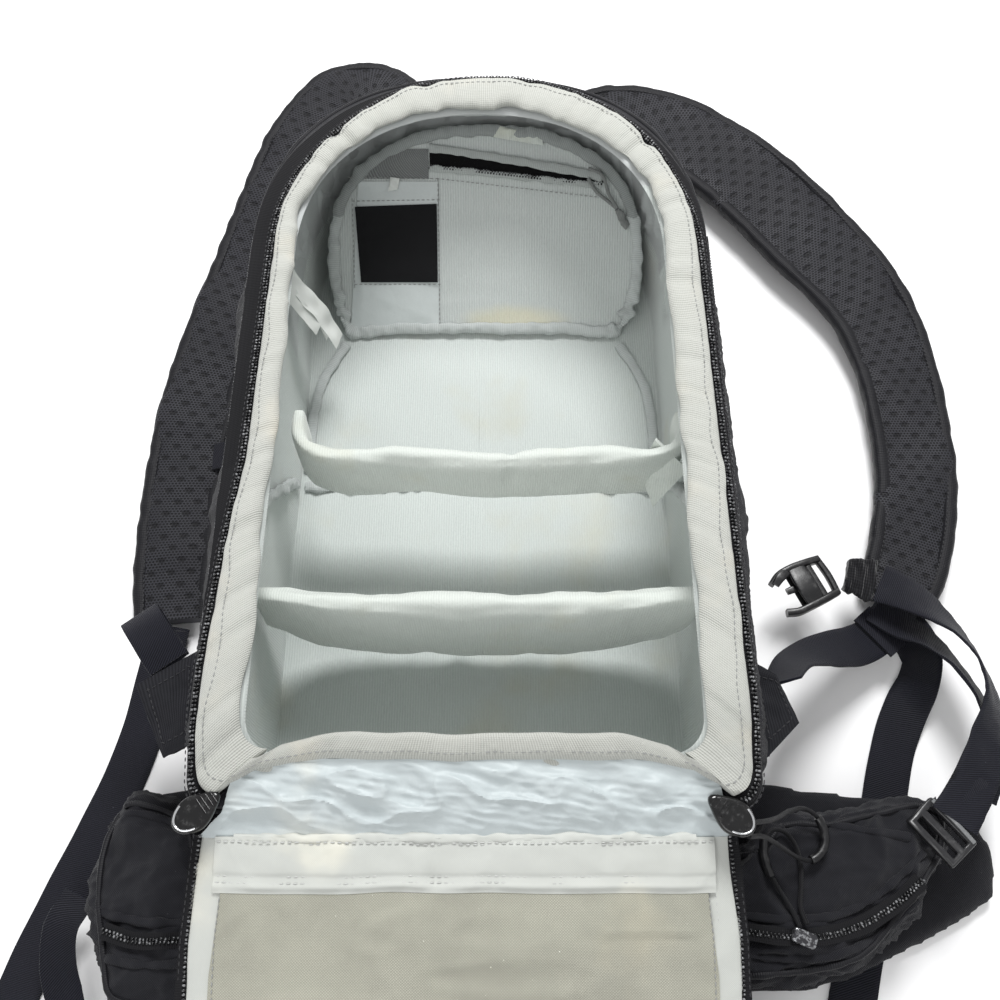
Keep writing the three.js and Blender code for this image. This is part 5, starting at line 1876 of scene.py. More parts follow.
@dataclass
class EndPanel:
    """Sloping panel at the crown with its pocket, window, zip slit and pull."""

    rows: Table = field(
        default_factory=lambda: table(
            "up left right",
            (4.5, 104, 105), (29, 112, 116), (66, 115, 119), (100, 108, 112), (124, 92, 96),
            (141, 66, 70), (151, 36, 42), (153.9, 8, 12),
        )
    )
    thick: float = 3.0

    def surface(self, x: np.ndarray, up: np.ndarray) -> np.ndarray:
        """Height of the panel's face over its own plane.

        Args:
            x: places across it.
            up: places up it.

        Returns:
            Heights in millimetres.
        """
        flat = np.stack([x, up, np.zeros_like(x)], axis=-1)
        near = smooth((150 - up) / 20) * smooth(up / 12)
        soft = Ripple(81, 70, 0.6)(flat) + Ripple(82, 26, 0.35, (3.0, 1, 1), crease=0.4)(flat)
        return (soft - 0.2) * near

    def on_face(self, x: np.ndarray, up: np.ndarray, lift: float | np.ndarray) -> np.ndarray:
        """Points over the panel's face in the bag's frame.

        Args:
            x: places across it.
            up: places up it.
            lift: height over it.

        Returns:
            The points.
        """
        x, up = np.broadcast_arrays(np.asarray(x, float), np.asarray(up, float))
        local = np.stack([x, up, self.surface(x, up) + lift], axis=-1)
        return placed(local, END_FRAME)

    def build(self) -> None:
        """Makes the panel and everything on it."""
        up = np.linspace(4.5, 153.9, 110)
        left = -np.interp(up, self.rows["up"], self.rows["left"])
        right = np.interp(up, self.rows["up"], self.rows["right"])
        u = np.linspace(0, 1, 110)
        x = lerp(left[:, None], right[:, None], u[None, :])
        grid = self.on_face(x, np.repeat(up[:, None], 110, axis=1), 0.0)
        panel = Maker.sheet("end_panel_cloth", grid, self.thick)
        Maker.finish(panel, END_CLOTH, "loop_lining", ("end_panel",))
        self.arch()
        self.pocket()
        self.slit()
        self.pull()

    def patch(
        self, name: str, outline: tuple[Vec, Vec, Vec, Vec], lift: float, thick: float,
        look: Finish, slot: str, replaces: tuple[str, ...] = (), fields: tuple[Ripple, ...] = (),
        counts: tuple[int, int] = (44, 44),
    ) -> bpy.types.Object:
        """A four-cornered cloth laid on the panel.

        Args:
            name: the piece's name.
            outline: its corners, low left, low right, high right, high left.
            lift: height of its upper face over the panel.
            thick: its thickness.
            look: its finish.
            slot: the record's material slot.
            replaces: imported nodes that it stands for.
            fields: folds that lift it between its edges.
            counts: columns and rows.

        Returns:
            The piece.
        """
        u = np.linspace(0, 1, counts[0])[None, :]
        v = np.linspace(0, 1, counts[1])[:, None]
        a, b, c, d = (np.array(p[:2], float) for p in outline)
        x = (1 - v) * ((1 - u) * a[0] + u * b[0]) + v * ((1 - u) * d[0] + u * c[0])
        up = (1 - v) * ((1 - u) * a[1] + u * b[1]) + v * ((1 - u) * d[1] + u * c[1])
        flat = np.stack([x, up, np.zeros_like(x)], axis=-1)
        free = smooth(np.minimum(np.minimum(u, 1 - u), np.minimum(v, 1 - v)) * 8)
        rise = sum((np.maximum(f(flat) + 0.4, 0) for f in fields), np.zeros_like(x)) * free
        grid = self.on_face(x, up, lift + rise)
        made = Maker.sheet(name, grid, thick)
        return Maker.finish(made, look, slot, replaces)

    def arch(self) -> None:
        """Wavy bound seam round the panel, gathered at its two lower corners."""
        up, left, right = (self.rows[k] for k in ("up", "left", "right"))
        xs = np.concatenate([-left, right[::-1], [60, 0, -60]])
        ys = np.concatenate([up, up[::-1], [4.5, 4.5, 4.5]])
        local = np.stack([lerp(2, xs, 0.975), lerp(78, ys, 0.96), np.full(len(xs), 1.6)], axis=1)
        rows = rows_of(local)
        path = Sweep(rows, 8.4, 4.6, matrix=END_FRAME, loop=True)
        rings = path.rings(oval(2.2, 14), 620)
        made = Maker.skin("end_panel_seam_bound", rings, loop=True, sharp=80)
        points = Maker.points(made)
        corner = np.exp(-(((np.abs(points[:, 0]) - 108) / 16) ** 2))
        corner = corner * smooth((60 - points[:, 2]) / 30)
        Maker.ripple(made, Ripple(91, 15, 1.0), mask=0.7 + 1.2 * corner)
        Maker.ripple(made, Ripple(92, 8, 0.6), mask=0.5 + 2.4 * corner)
        # Painted shade: faces above 80 mm take the darker copy of the tape.
        made.data.materials.append(SEAM_TAPE.material())
        made.data.materials.append(SHADED_ARCH_TAPE.material())
        for face in made.data.polygons:
            face.material_index = int(face.center.z > 0.080)
        Maker.finish(made, None, "nylon_tape", ("end_panel_seam",))

    def pocket(self) -> None:
        """Pale nylon pocket with a black mesh window and stitches."""
        folds = (Ripple(93, 40, 0.35, (1, 2.2, 1), crease=0.3), Ripple(94, 16, 0.15))
        pocket = self.patch(
            "end_pocket_nylon", ((-101, 6, 0), (-33, 5, 0), (-33, 115, 0), (-92, 115, 0)),
            1.5, 0.6, POCKET_NYLON, "pale_nylon", ("end_pocket",), folds, (56, 80),
        )
        window = self.patch(
            "pocket_window", ((-92, 42, 0), (-34, 42, 0), (-34, 99, 0), (-95, 97, 0)),
            3.3, 0.5, WINDOW_MESH, "black_mesh", ("mesh_window",), (Ripple(95, 30, 0.5),),
        )
        normal = facing(END_FRAME)
        lines = []
        for x0, u0, x1, u1 in (
            (-96, 101, -33, 102), (-96, 40.5, -33, 40.5), (-97, 39, -97, 102),
            (-33, 4, -33, 116), (-98, 118, -34, 117), (-33, 117, 84, 104),
        ):
            s = np.linspace(0, 1, 60)
            points = self.on_face(lerp(x0, x1, s), lerp(u0, u1, s), 2.5)
            lines.append((points, np.tile(normal, (60, 1))))
        GREY_SEAM.sew("end_pocket_stitches", "pale_nylon", lines)
        self.patch(
            "grey_patch", ((-93, 117, 0), (-40, 117, 0), (-40, 138, 0), (-70, 138, 0)),
            1.2, 0.7, PATCH_CLOTH, "air_mesh", (), (), (24, 16),
        )
        self.patch(
            "bare_tab", ((-70, 108, 0), (-63, 109, 0), (-61, 117, 0), (-68, 118, 0)),
            3.6, 0.4, TAG_CLOTH, "white_nylon", (), (Ripple(97, 8, 0.8),), (12, 12),
        )
        # Paler fleece patch near the crown: painted light, a lit spot of the fleece.
        self.patch(
            "lit_fleece", ((8, 146, 0), (45, 140, 0), (43, 148, 0), (13, 153.5, 0)),
            3.4, 1.6, DIVIDER_CLOTH, "loop_lining", (), (Ripple(99, 12, 1.6),), (30, 14),
        )

    def slit(self) -> None:
        """Zip slit whose opening is a near-black sheet of painted shade, with one row of coil on
        its lower lip and a hem over it.
        """
        s = np.linspace(0, 1, 70)
        x = lerp(-39, 88, s)
        middle = lerp(131, 115, s**1.15)
        wide = 4.4 * (1 - s) ** 0.55 + 0.5
        rows = np.linspace(-1, 1, 9)
        grid = self.on_face(
            np.repeat(x[:, None], 9, 1), middle[:, None] + wide[:, None] * rows, 1.6
        )
        # Painted shade: a near-black sheet fills the slit's opening.
        made = Maker.sheet("slit_painted_shade", grid[:, ::-1], 0.6)
        Maker.finish(made, PAINTED_SHADE, "zip_tape", ("end_zip",))
        normal = np.tile(facing(END_FRAME), (len(s), 1))
        low = self.on_face(x, middle - wide - 0.6, 2.6)
        across = unit(self.on_face(x, middle + wide, 2.6) - low)
        COIL.teeth("slit_coil", COIL.pair(low, normal, across, 1.6))
        # The hems take the darker grey of painted shade on the slit's lips.
        for name, lift, offset, height in (
            ("slit_hem_low", 1.6, -3.6, 4.6), ("slit_hem_high", 2.4, 4.4, 6.0),
        ):
            y = middle + np.sign(offset) * wide + offset * 0.5
            hem = {"x": x, "y": y, "z": np.full(70, lift)}
            tube(name, hem, height, 2.0, SHADED_HEM_CLOTH, "loop_lining", matrix=END_FRAME)

    def pull(self) -> None:
        """Grey cord loop on the slit's slider, with a tied knot."""
        rows = table(
            "x y z", (78, 124, 5), (88, 119, 7), (93, 106, 8), (99, 96, 7), (94, 100, 4.6),
            (84, 108, 4.2), (78, 117, 4.4),
        )
        points = placed(Route(points_of(rows)).at(np.linspace(0, 1, 60)), END_FRAME)
        rows = table("x y z", (99.9, 94.9, 6.9), (103, 90, 6.2), (104, 87, 4.6), (108, 83, 3.4))
        knot = placed(Route(points_of(rows)).at(np.linspace(0, 1, 20)), END_FRAME)
        tied = Cords.tube(
            "inner_pull_knot_tied", knot, 4.6, GREY_CORD, "grey_cord", ("inner_pull_knot",)
        )
        Maker.ripple(tied, Ripple(98, 5, 0.7))
        Cords.free("inner_pull", points, 2.6, GREY_CORD, "grey_cord", "inner_pull_cord", [tied])


class Cords:
    """Thin round cords along points in millimetres."""

    @staticmethod
    def tube(
        name: str, points: np.ndarray, diameter: float, look: Finish, slot: str,
        replaces: tuple[str, ...] = (),
    ) -> bpy.types.Object:
        """A closed round tube through points.

        Args:
            name: the piece's name.
            points: its middle line.
            diameter: in millimetres.
            look: its finish.
            slot: the record's material slot.
            replaces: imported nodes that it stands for.

        Returns:
            The piece.
        """
        ahead = unit(np.gradient(points, axis=0))
        first = np.cross(ahead[0], UP)
        if np.linalg.norm(first) < 0.1:
            first = np.cross(ahead[0], (1.0, 0.0, 0.0))
        across = [unit(first)]
        for t in ahead[1:]:
            across.append(unit(across[-1] - t * np.dot(across[-1], t)))
        across = np.array(across)
        normal = np.cross(across, ahead)
        section = oval(2, 12) * diameter / 2
        rings = (
            points[:, None]
            + across[:, None] * section[None, :, :1]
            + normal[:, None] * section[None, :, 1:]
        )
        made = Maker.skin(name, rings, sharp=80)
        return Maker.finish(made, look, slot, replaces)

    @classmethod
    def free(
        cls, name: str, points: np.ndarray, diameter: float, look: Finish, slot: str, node: str,
        with_pieces: list[bpy.types.Object] | None = None,
    ) -> bpy.types.Object:
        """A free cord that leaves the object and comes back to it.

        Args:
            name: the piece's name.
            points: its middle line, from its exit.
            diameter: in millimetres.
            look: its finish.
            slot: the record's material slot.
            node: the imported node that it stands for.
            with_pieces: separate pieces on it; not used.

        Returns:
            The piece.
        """
        made = cls.tube(name, points, diameter, look, slot, (node,))
        return made


@dataclass
class Dividers:
    """Two padded dividers, swelled from their solids and brushed."""

    def build(self) -> None:
        """Makes both dividers."""
        for node, seed in (("divider_upper", 101), ("divider_lower", 102)):
            piece = Maker.copy(node, node + "_pad")
            Puff(voxel=3.2, pressure=3.0, cap=2.2, shrink=0.8, soften=4)(piece)
            Maker.ripple(piece, Ripple(seed, 60, 0.9), Ripple(seed + 10, 22, 0.4))
            points = Maker.points(piece)
            if node == "divider_upper":
                dent = np.exp(-(((points[:, 0] - 20) / 5.0) ** 2))
                dent = dent * smooth((points[:, 2] - 84) / 30)
                points -= Maker.normals(piece) * (2.4 * dent)[:, None]
                Maker.move(piece, points)
            Maker.finish(piece, DIVIDER_CLOTH, "loop_lining", (node,))
        self.flap()

    @staticmethod
    def flap() -> None:
        """Hook flap at the upper divider's right end, turned toward the hinge."""
        corners = ((102, -31, 97), (111, -50, 80), (130, -38, 110), (108, -25, 125))
        u = np.linspace(0, 1, 26)[None, :, None]
        v = np.linspace(0, 1, 26)[:, None, None]
        a, b, c, d = np.array(corners, float)
        grid = (1 - v) * ((1 - u) * a + u * b) + v * ((1 - u) * d + u * c)
        swell = 2.0 * np.sin(np.pi * u) * np.sin(np.pi * v) + Ripple(103, 14, 0.7)(grid)[..., None]
        grid = grid + np.array([-0.35, -0.75, 0.55]) * swell
        made = Maker.sheet("divider_flap", grid, 2.4)
        Maker.finish(made, DIVIDER_CLOTH, "loop_lining")


LID_FRAME = Matrix.Translation((-5, -257, 128.5)) @ Matrix.Rotation(math.asin(113.9 / 452), 4, "X")


@dataclass
class Lid:
    """Laid-back lid: padded panel, zip edge, white lining, hemmed band and mesh pocket."""

    half: float = 143.0
    length: float = 452.0
    arch: float = 150.0
    power: float = 2.15

    def reach(self, y: np.ndarray, margin: float, start: float = 0.0) -> np.ndarray:
        """Half width of the outline at a distance from the hinge.

        Args:
            y: places, negative away from the hinge.
            margin: distance inside the lid's edge.
            start: where the outline starts.

        Returns:
            Half widths.
        """
        half = self.half - margin
        deep = self.arch - margin
        share = np.clip((-self.length + self.arch - y) / deep, 0, 1)
        round_off = (1 - share**self.power) ** (1 / self.power)
        return half * round_off - 4 * np.clip((y + start + 40) / 40, 0, 1)

    def outline(self, margin: float) -> np.ndarray:
        """Points along the edge from the hinge's right end round to its left.

        Args:
            margin: distance inside the lid's edge.

        Returns:
            Rows of x, y, z in the lid's frame.
        """
        half = self.half - margin
        turn = np.linspace(0, math.pi, 120)
        c, s = np.cos(turn), np.sin(turn)
        x = half * np.sign(c) * np.abs(c) ** (2 / self.power)
        y = -self.length + self.arch - (self.arch - margin) * s ** (2 / self.power)
        side = np.linspace(0, 1, 60)[:-1]
        right = np.stack([half - 4 + 4 * np.minimum(1, side * 6), lerp(0, y[0], side)], axis=1)
        left = right[::-1] * (-1, 1)
        flat = np.concatenate([right, np.stack([x, y], axis=1), left])
        return np.column_stack([flat, np.zeros(len(flat))])

    def grid(self, margin: float, start: float, rows: int, columns: int) -> np.ndarray:
        """Points over the whole outline in the lid's frame.

        Args:
            margin: distance inside the lid's edge.
            start: distance of the nearest row from the hinge.
            rows: how many rows.
            columns: how many columns.

        Returns:
            Rows by columns of x, y, z.
        """
        y = np.linspace(-self.length + margin + 0.6, -start, rows)
        half = self.reach(y, margin, start)
        u = np.linspace(-1, 1, columns)
        return np.stack(
            [half[:, None] * u, np.repeat(y[:, None], columns, 1), np.zeros((rows, columns))], -1
        )

    def build(self) -> None:
        """Makes every piece of the lid."""
        self.hinge()
        panel = Maker.copy("lid_panel", "lid_padded_panel")
        Puff(voxel=5.0, pressure=3.0, cap=1.5, shrink=0.8, levels=0, soften=5)(panel)
        Maker.ripple(panel, Ripple(111, 50, 0.4))
        Maker.finish(panel, BOXED_PACK, "pack_cloth", ("lid_panel",))
        self.edge()
        flat = self.grid(4.4, 0.3, 190, 120)
        side = smooth((np.abs(flat[..., 0]) - 118) / 8)
        rise = 1.7 + np.maximum(0, Ripple(112, 40, 0.4)(flat))
        rise = rise + side * (1.0 + Ripple(114, 34, 1.0, (2, 1, 1), crease=0.5)(flat))
        flat[..., 2] = rise
        lining = Maker.sheet("lid_white_lining", placed(flat, LID_FRAME), 1.2)
        Maker.finish(lining, BAND_NYLON, "white_nylon", ("lid_lining",))
        self.band()
        self.pocket()

    def hinge(self) -> None:
        """Gathered white nylon that joins the lid to the body."""
        u = np.linspace(-1, 1, 210)
        v = np.linspace(0, 1, 56)
        profile = [(-222.4, 149.0, 118), (-235, 146.8, 124), (-247, 140.6, 128),
                   (-258.6, 131.0, 136)]
        line = Route(np.array(profile)).at(v)
        middle = np.interp(v, (0, 0.7, 1), (0, 0, -5))
        x = middle[:, None] + line[:, 2:] * u
        y = np.repeat(line[:, :1], len(u), 1)
        z = np.repeat(line[:, 1:2], len(u), 1)
        grid = np.stack([x, y, z], axis=-1)
        near = np.sin(np.pi * v)[:, None] ** 0.7
        slant = grid + np.stack([0.8 * grid[..., 1], 0 * x, 0 * x], axis=-1)
        fine = Ripple(121, 15, 1.0, (1.0, 0.6, 1), crease=0.5)(slant)
        long = Ripple(122, 38, 3.0, (1.2, 0.5, 1), crease=0.6)(slant)
        gather = Ripple(123, 8, 0.5, (1.3, 0.5, 1))(slant)
        grid[..., 2] += (fine + long) * near + gather * (0.25 + 0.75 * near) - 0.2
        grid[..., 1] += 1.2 * Ripple(124, 30, 0.6)(grid)
        made = Maker.sheet("hinge_gathered_nylon", grid[::-1], 1.2)
        Maker.finish(made, HINGE_NYLON, "white_nylon", ("hinge_strip",))
        x = np.linspace(-123, 113, 200)
        rise = Ripple(125, 18, 0.5)(np.stack([x, x * 0, x * 0], 1))
        ridge = np.stack([x, np.full(200, -258.6), 131.0 + rise], axis=1)
        rows = rows_of(ridge)
        tube("hinge_sewn_ridge", rows, 5.0, 3.2, BAND_NYLON, "white_nylon", wave=0.7)
        WHITE_SEAM.sew("hinge_stitches", "white_nylon", [(ridge + (0, -3.4, 0.3), ups(200))])

    def edge(self) -> None:
        """Zip tape and one row of coil round the lid's edge."""
        line = self.outline(2.4)
        line[:, 2] = 1.7
        rows = rows_of(line)
        path = Sweep(rows, 5.2, 2.6, matrix=LID_FRAME)
        tape = Maker.skin("lid_tape", path.rings(strip_section(9), 700), sharp=60)
        Maker.ripple(tape, Ripple(113, 40, 0.3))
        Maker.finish(tape, ZIP_TAPE, "zip_tape", ("lid_zip_tape",))
        outer, up = path.line(0.35, 0.9, 700)
        inner, _ = path.line(-0.3, 0.9, 700)
        across = unit(inner - outer)
        COIL.teeth("lid_coil", COIL.pair(outer, up, across, 1.5)[:1])
        sewn, up = path.line(-0.6, 0.05, 700)
        BLACK_SEAM.sew("lid_tape_stitches", "zip_tape", [(sewn, up)])

    def band(self) -> None:
        """White hemmed band along the hinge, softly dented, with two rows of stitches."""
        u = np.linspace(-1, 1, 200)[None, :]
        v = np.linspace(0, 1, 40)[:, None]
        x = 127 * u * np.ones_like(v)
        y = lerp(-27.5, -0.8, v) * np.ones_like(u)
        flat = np.stack([x, y, np.zeros_like(x)], axis=-1)
        y = y + Ripple(131, 60, 0.6)(flat)
        soft = Ripple(132, 42, 0.9, (1, 1.3, 1), crease=0.3)(flat) + Ripple(133, 15, 0.35)(flat)
        hem = 1.1 * np.exp(-(((v - 0.12) / 0.07) ** 2)) - 0.5 * np.exp(-(((v - 0.3) / 0.05) ** 2))
        z = 4.2 + (soft + 0.9 * np.sin(np.pi * v)) * smooth(np.minimum(v, 1 - v) * 7) + hem
        made = Maker.sheet("lid_hemmed_band", placed(np.stack([x, y, z], -1), LID_FRAME), 1.0)
        Maker.finish(made, BAND_NYLON, "white_nylon", ("lid_band",))
        up = facing(LID_FRAME)
        lines = []
        for offset, lift in ((-22.4, 4.9), (-19.4, 4.2), (-3.0, 5.0)):
            x = np.linspace(-125, 125, 200)
            flat = np.stack([x, np.full(200, offset), np.zeros(200)], axis=1)
            z = lift + Ripple(132, 42, 0.9, (1, 1.3, 1), crease=0.3)(flat)
            local = np.stack([x, offset + Ripple(131, 60, 0.6)(flat), z], axis=1)
            lines.append((placed(local, LID_FRAME), np.tile(up, (200, 1))))
        WHITE_SEAM.sew("band_stitches", "white_nylon", lines)

    def pocket(self) -> None:
        """Beige mesh pocket with soft folds and a row of stitches along its edges."""
        flat = self.grid(16, 27, 190, 120)
        y = flat[..., 1]
        broad = Ripple(141, 90, 2.0, (1, 0.7, 1), crease=0.25)(flat)
        folds = Ripple(142, 42, 1.1, (1.5, 0.6, 1), crease=0.55)(flat)
        free = smooth((self.reach(y, 16, 27) - np.abs(flat[..., 0])) / 14)
        free = free * smooth((-y - 27) / 16) * smooth((y + self.length - 16) / 16)
        flat[..., 2] = 3.9 + np.maximum(0, broad + folds + 1.1) * free
        made = Maker.sheet("lid_mesh", placed(flat, LID_FRAME), 0.8)
        Maker.finish(made, POCKET_MESH, "beige_mesh", ("lid_mesh_pocket",))
        for seam, name, slot, margin, start, height in (
            (GREY_SEAM, "lid_mesh_stitches", "beige_mesh", 18.0, -27, 4.3),
            (WHITE_SEAM, "lid_lining_stitches", "white_nylon", 14.2, -24, 2.2),
        ):
            line = self.outline(margin)
            line = line[line[:, 1] < start]
            line[:, 2] = height
            up = np.tile(facing(LID_FRAME), (len(line), 1))
            seam.sew(name, slot, [(placed(line, LID_FRAME), up)])


STRAP = "x y z width"


@dataclass
class ShoulderStrap:
    """Padded strap of air mesh with a smooth binding sewn along both edges."""

    side: str
    rows: Table
    thick: float = 11.0
    binding: float = 10.5
    stitch_inset: float = 0.62
    seed: int = 201

    def build(self) -> None:
        """Makes the pad, both bindings and their stitches."""
        path = Sweep(self.rows, 0.0, self.thick)
        length = path.frames(300)["run"][-1]
        count = int(length / 3.0)
        rings = path.rings(oval(3.4, 46), count)
        pad = Maker.skin(f"strap_mesh_{self.side}", rings, sharp=80)
        points = Maker.points(pad)
        firm = smooth((points[:, 2] - 3) / 4)
        Maker.ripple(pad, Ripple(self.seed, 70, 1.0), Ripple(self.seed + 1, 30, 0.6), mask=firm)
        Maker.finish(pad, AIR_MESH, "air_mesh", (f"shoulder_strap_{self.side}",))
        lines = []
        f = path.frames(int(length / 2.0))
        section = oval(2.6, 16)
        for edge in (-1, 1):
            middle = f["at"] + f["across"] * (f["half"] - self.binding / 2 + 1.2) * edge
            wide = f["across"][:, None] * section[None, :, :1] * self.binding / 2
            deep = f["normal"][:, None] * section[None, :, 1:] * (f["deep"][:, None] * 0.94 + 0.4)
            made = Maker.skin(f"strap_edge_{self.side}_{'in' if edge < 0 else 'out'}",
                              middle[:, None] + wide + deep, sharp=80)
            Maker.ripple(made, Ripple(self.seed + 4, 22, 0.5), Ripple(self.seed + 5, 9, 0.25))
            Maker.finish(made, STRAP_EDGE, "pack_cloth")
            aside = f["half"] - self.binding * (0.5 + 0.5 * self.stitch_inset) + 1.2
            lift = f["deep"] * 0.94 + 0.2
            line = f["at"] + f["across"] * aside * edge + f["normal"] * lift
            lines.append((line, f["normal"]))
        BLACK_SEAM.sew(f"strap_stitches_{self.side}", "pack_cloth", lines)


LEFT_STRAP = table(
    STRAP, (-38, 200, 6, 52), (-44, 262, 7.5, 54), (-52, 316, 12, 54), (-67, 357, 17, 50),
    (-94, 384, 21, 46), (-125, 378, 22, 52), (-144, 345, 21, 62), (-156, 309, 19, 68),
    (-166, 270, 17, 68), (-178, 226, 14, 66), (-190, 180, 12, 62), (-202, 136, 11, 58),
    (-213, 84, 10, 56), (-217, 30, 10, 55), (-217, -22, 10, 55), (-215, -65, 10, 54),
    (-212, -104, 10, 50),
)
RIGHT_STRAP = table(
    STRAP, (38, 200, 6, 52), (46, 258, 7.5, 56), (66, 316, 13, 66), (106, 347, 18, 74),
    (152, 338, 20, 76), (186, 313, 21, 78), (217, 281, 22, 80), (245, 244, 22, 81),
    (267, 211, 21, 79), (288, 180, 20, 74), (306, 141, 18, 66), (315, 95, 16, 60),
    (317, 39, 15, 57), (314, -4, 14, 56), (305, -40, 14, 55), (294, -70, 14, 53),
    (284, -90, 14, 48),
)


@dataclass
class Strip:
    """A length of woven webbing along a path."""

    node: str
    rows: Table
    width: float = 28.0
    thick: float = 1.6
    side: Vec | None = None
    wave: float = 0.3
    fold: float = 0.0

    def build(self) -> bpy.types.Object:
        """Makes the strip, evenly waved and folded where it is loose.

        Returns:
            The piece.
        """
        path = Sweep(self.rows, self.width, self.thick, side=self.side)
        length = path.frames(200)["run"][-1]
        rings = path.rings(strip_section(9), max(16, int(length / 2.5)))
        made = Maker.skin(f"{self.node}_woven", rings, sharp=60)
        fields = [Ripple(211 + len(self.node), 45, self.wave)]
        if self.fold:
            fields.append(Ripple(231, 17, self.fold, crease=0.6))
        Maker.ripple(made, *fields)
        return Maker.finish(made, WEBBING, "webbing", (self.node,))


@dataclass
class Harness:
    """Straps, their webbing, the tail, the keeper, the link, the loop and the side tabs."""

    def build(self) -> None:
        """Makes every piece of the harness."""
        ShoulderStrap("left", LEFT_STRAP, seed=201).build()
        ShoulderStrap("right", RIGHT_STRAP, seed=221).build()
        xyz, leaning = "x y z", "x y z lean"
        strips = (
            Strip("strap_webbing_left", table(
                xyz, (-213, -107.4, 9.2), (-218, -140, 4.6), (-223, -175, 2), (-230, -205, 1.2),
                (-243, -243, 1.2), (-256, -278, 1.2), (-269, -314, 1.2), (-283, -360, 1.2))),
            Strip("strap_webbing_right", table(
                leaning, (179, -166, 84, -60), (193, -150, 68, -48), (211, -139, 51, -30),
                (230, -132, 38, -14), (248, -126, 26, -4), (263, -118, 21.6, 0),
                (279, -102, 20.9, 0), (286, -88, 20.8, 0))),
            Strip("strap_tail_right", table(
                leaning, (290, -100, 5.2, 0), (295, -116, 8.5, 22), (295.5, -131, 14, 50),
                (291, -147, 12, 40), (283, -163, 4.6, 10), (274, -182, 1.2, 0),
                (266, -203, 1.2, 0), (256, -234, 1.2, 0), (238, -290, 1.2, 0),
                (212, -370, 1.2, 0))),
            Strip("side_link_left", table(
                xyz, (-196, 19, 16.8), (-176, 19, 27), (-155, 19, 46)), 21, 2, side=(0, 1, 0)),
            Strip("strap_keeper", table(xyz, (256, -103, 24.5), (277, -128, 23.9)), 15, 2.4),
        )
        for strip in strips:
            strip.build()
        self.loop()
        self.tabs()
        self.bar_tacks()

    def loop(self) -> None:
        """Standing webbing loop on the left tab."""
        out = np.array([-23.0, 31.0, 0.0]) / math.hypot(23, 31)
        base = np.array([-179.5, -158.2, 0.0])
        shape = ((0, 98.6), (16, 103), (30, 102.6), (37, 98), (31, 92.6), (16, 91.6), (0, 95.4))
        rows = [base + out * reach + (0, 0, z) for reach, z in shape]
        Strip("webbing_loop", table("x y z", *map(tuple, rows)), 24, 1.6, side=(31, 23, 0)).build()

    def tabs(self) -> None:
        """Sewn cloth tabs that stand out from both sides."""
        sets = (
            ("side_tab_left", ((-197, -171), (-162, -149), (-162, -205), (-176, -212)), 98.6),
            ("side_tab_right", ((161.1, -156), (174, -164), (184, -192), (163, -212)), 95.2),
        )
        for node, corners, top in sets:
            a, b, c, d = (np.array(p, float) for p in corners)
            u = np.linspace(0, 1, 34)[:, None, None]
            v = np.linspace(0, 1, 34)[None, :, None]
            flat = (1 - v) * ((1 - u) * a + u * b) + v * ((1 - u) * d + u * c)
            flat = np.concatenate([flat, np.full(flat.shape[:2] + (1,), top - 0.4)], axis=-1)
            soft = Ripple(241, 24, 1.0, crease=0.3)(flat) + Ripple(242, 9, 0.3)(flat)
            rim = smooth(np.minimum(np.minimum(u, 1 - u), np.minimum(v, 1 - v))[..., 0] * 9)
            flat[..., 2] += soft + 0.8 * rim
            if np.cross((b - a), (d - a)) > 0:
                flat = flat[:, ::-1]
            made = Maker.sheet(node + "_cloth", flat, 2.8)
            Maker.finish(made, TAB_CLOTH, "pack_cloth", (node,))
            inner = flat[5:-5, 5:-5]
            border = np.concatenate(
                [inner[0], inner[1:, -1], inner[-1, ::-1][1:], inner[::-1, 0][1:]]
            )
            sewn = [(border + (0, 0, 0.3), ups(len(border)))]
            BLACK_SEAM.sew(node + "_stitches", "pack_cloth", sewn)

    @staticmethod
    def bar_tacks() -> None:
        """Short dense rows of thread where webbing is sewn down."""
        lines = []
        reach = np.linspace(-0.5, 0.5, 12)[:, None] * 22
        for at in ((-213, -110, 9.9), (-214, -117, 9.0)):
            line = np.array(at) + unit(np.array((1, -0.1, 0), float)) * reach
            lines.append((line, np.tile(unit(np.array((0, 0.14, 1), float)), (12, 1))))
        Seam(BLACK_THREAD, 1.2, 0.1, 1.0).sew("bar_tacks", "webbing", lines)


def keep_above_floor(target: bpy.types.Object) -> None:
    """Lifts points that a swell pushed under the table.

    Args:
        target: the piece.
    """
    points = Maker.points(target)
    points[:, 2] = np.maximum(points[:, 2], 0.3)
    Maker.move(target, points)


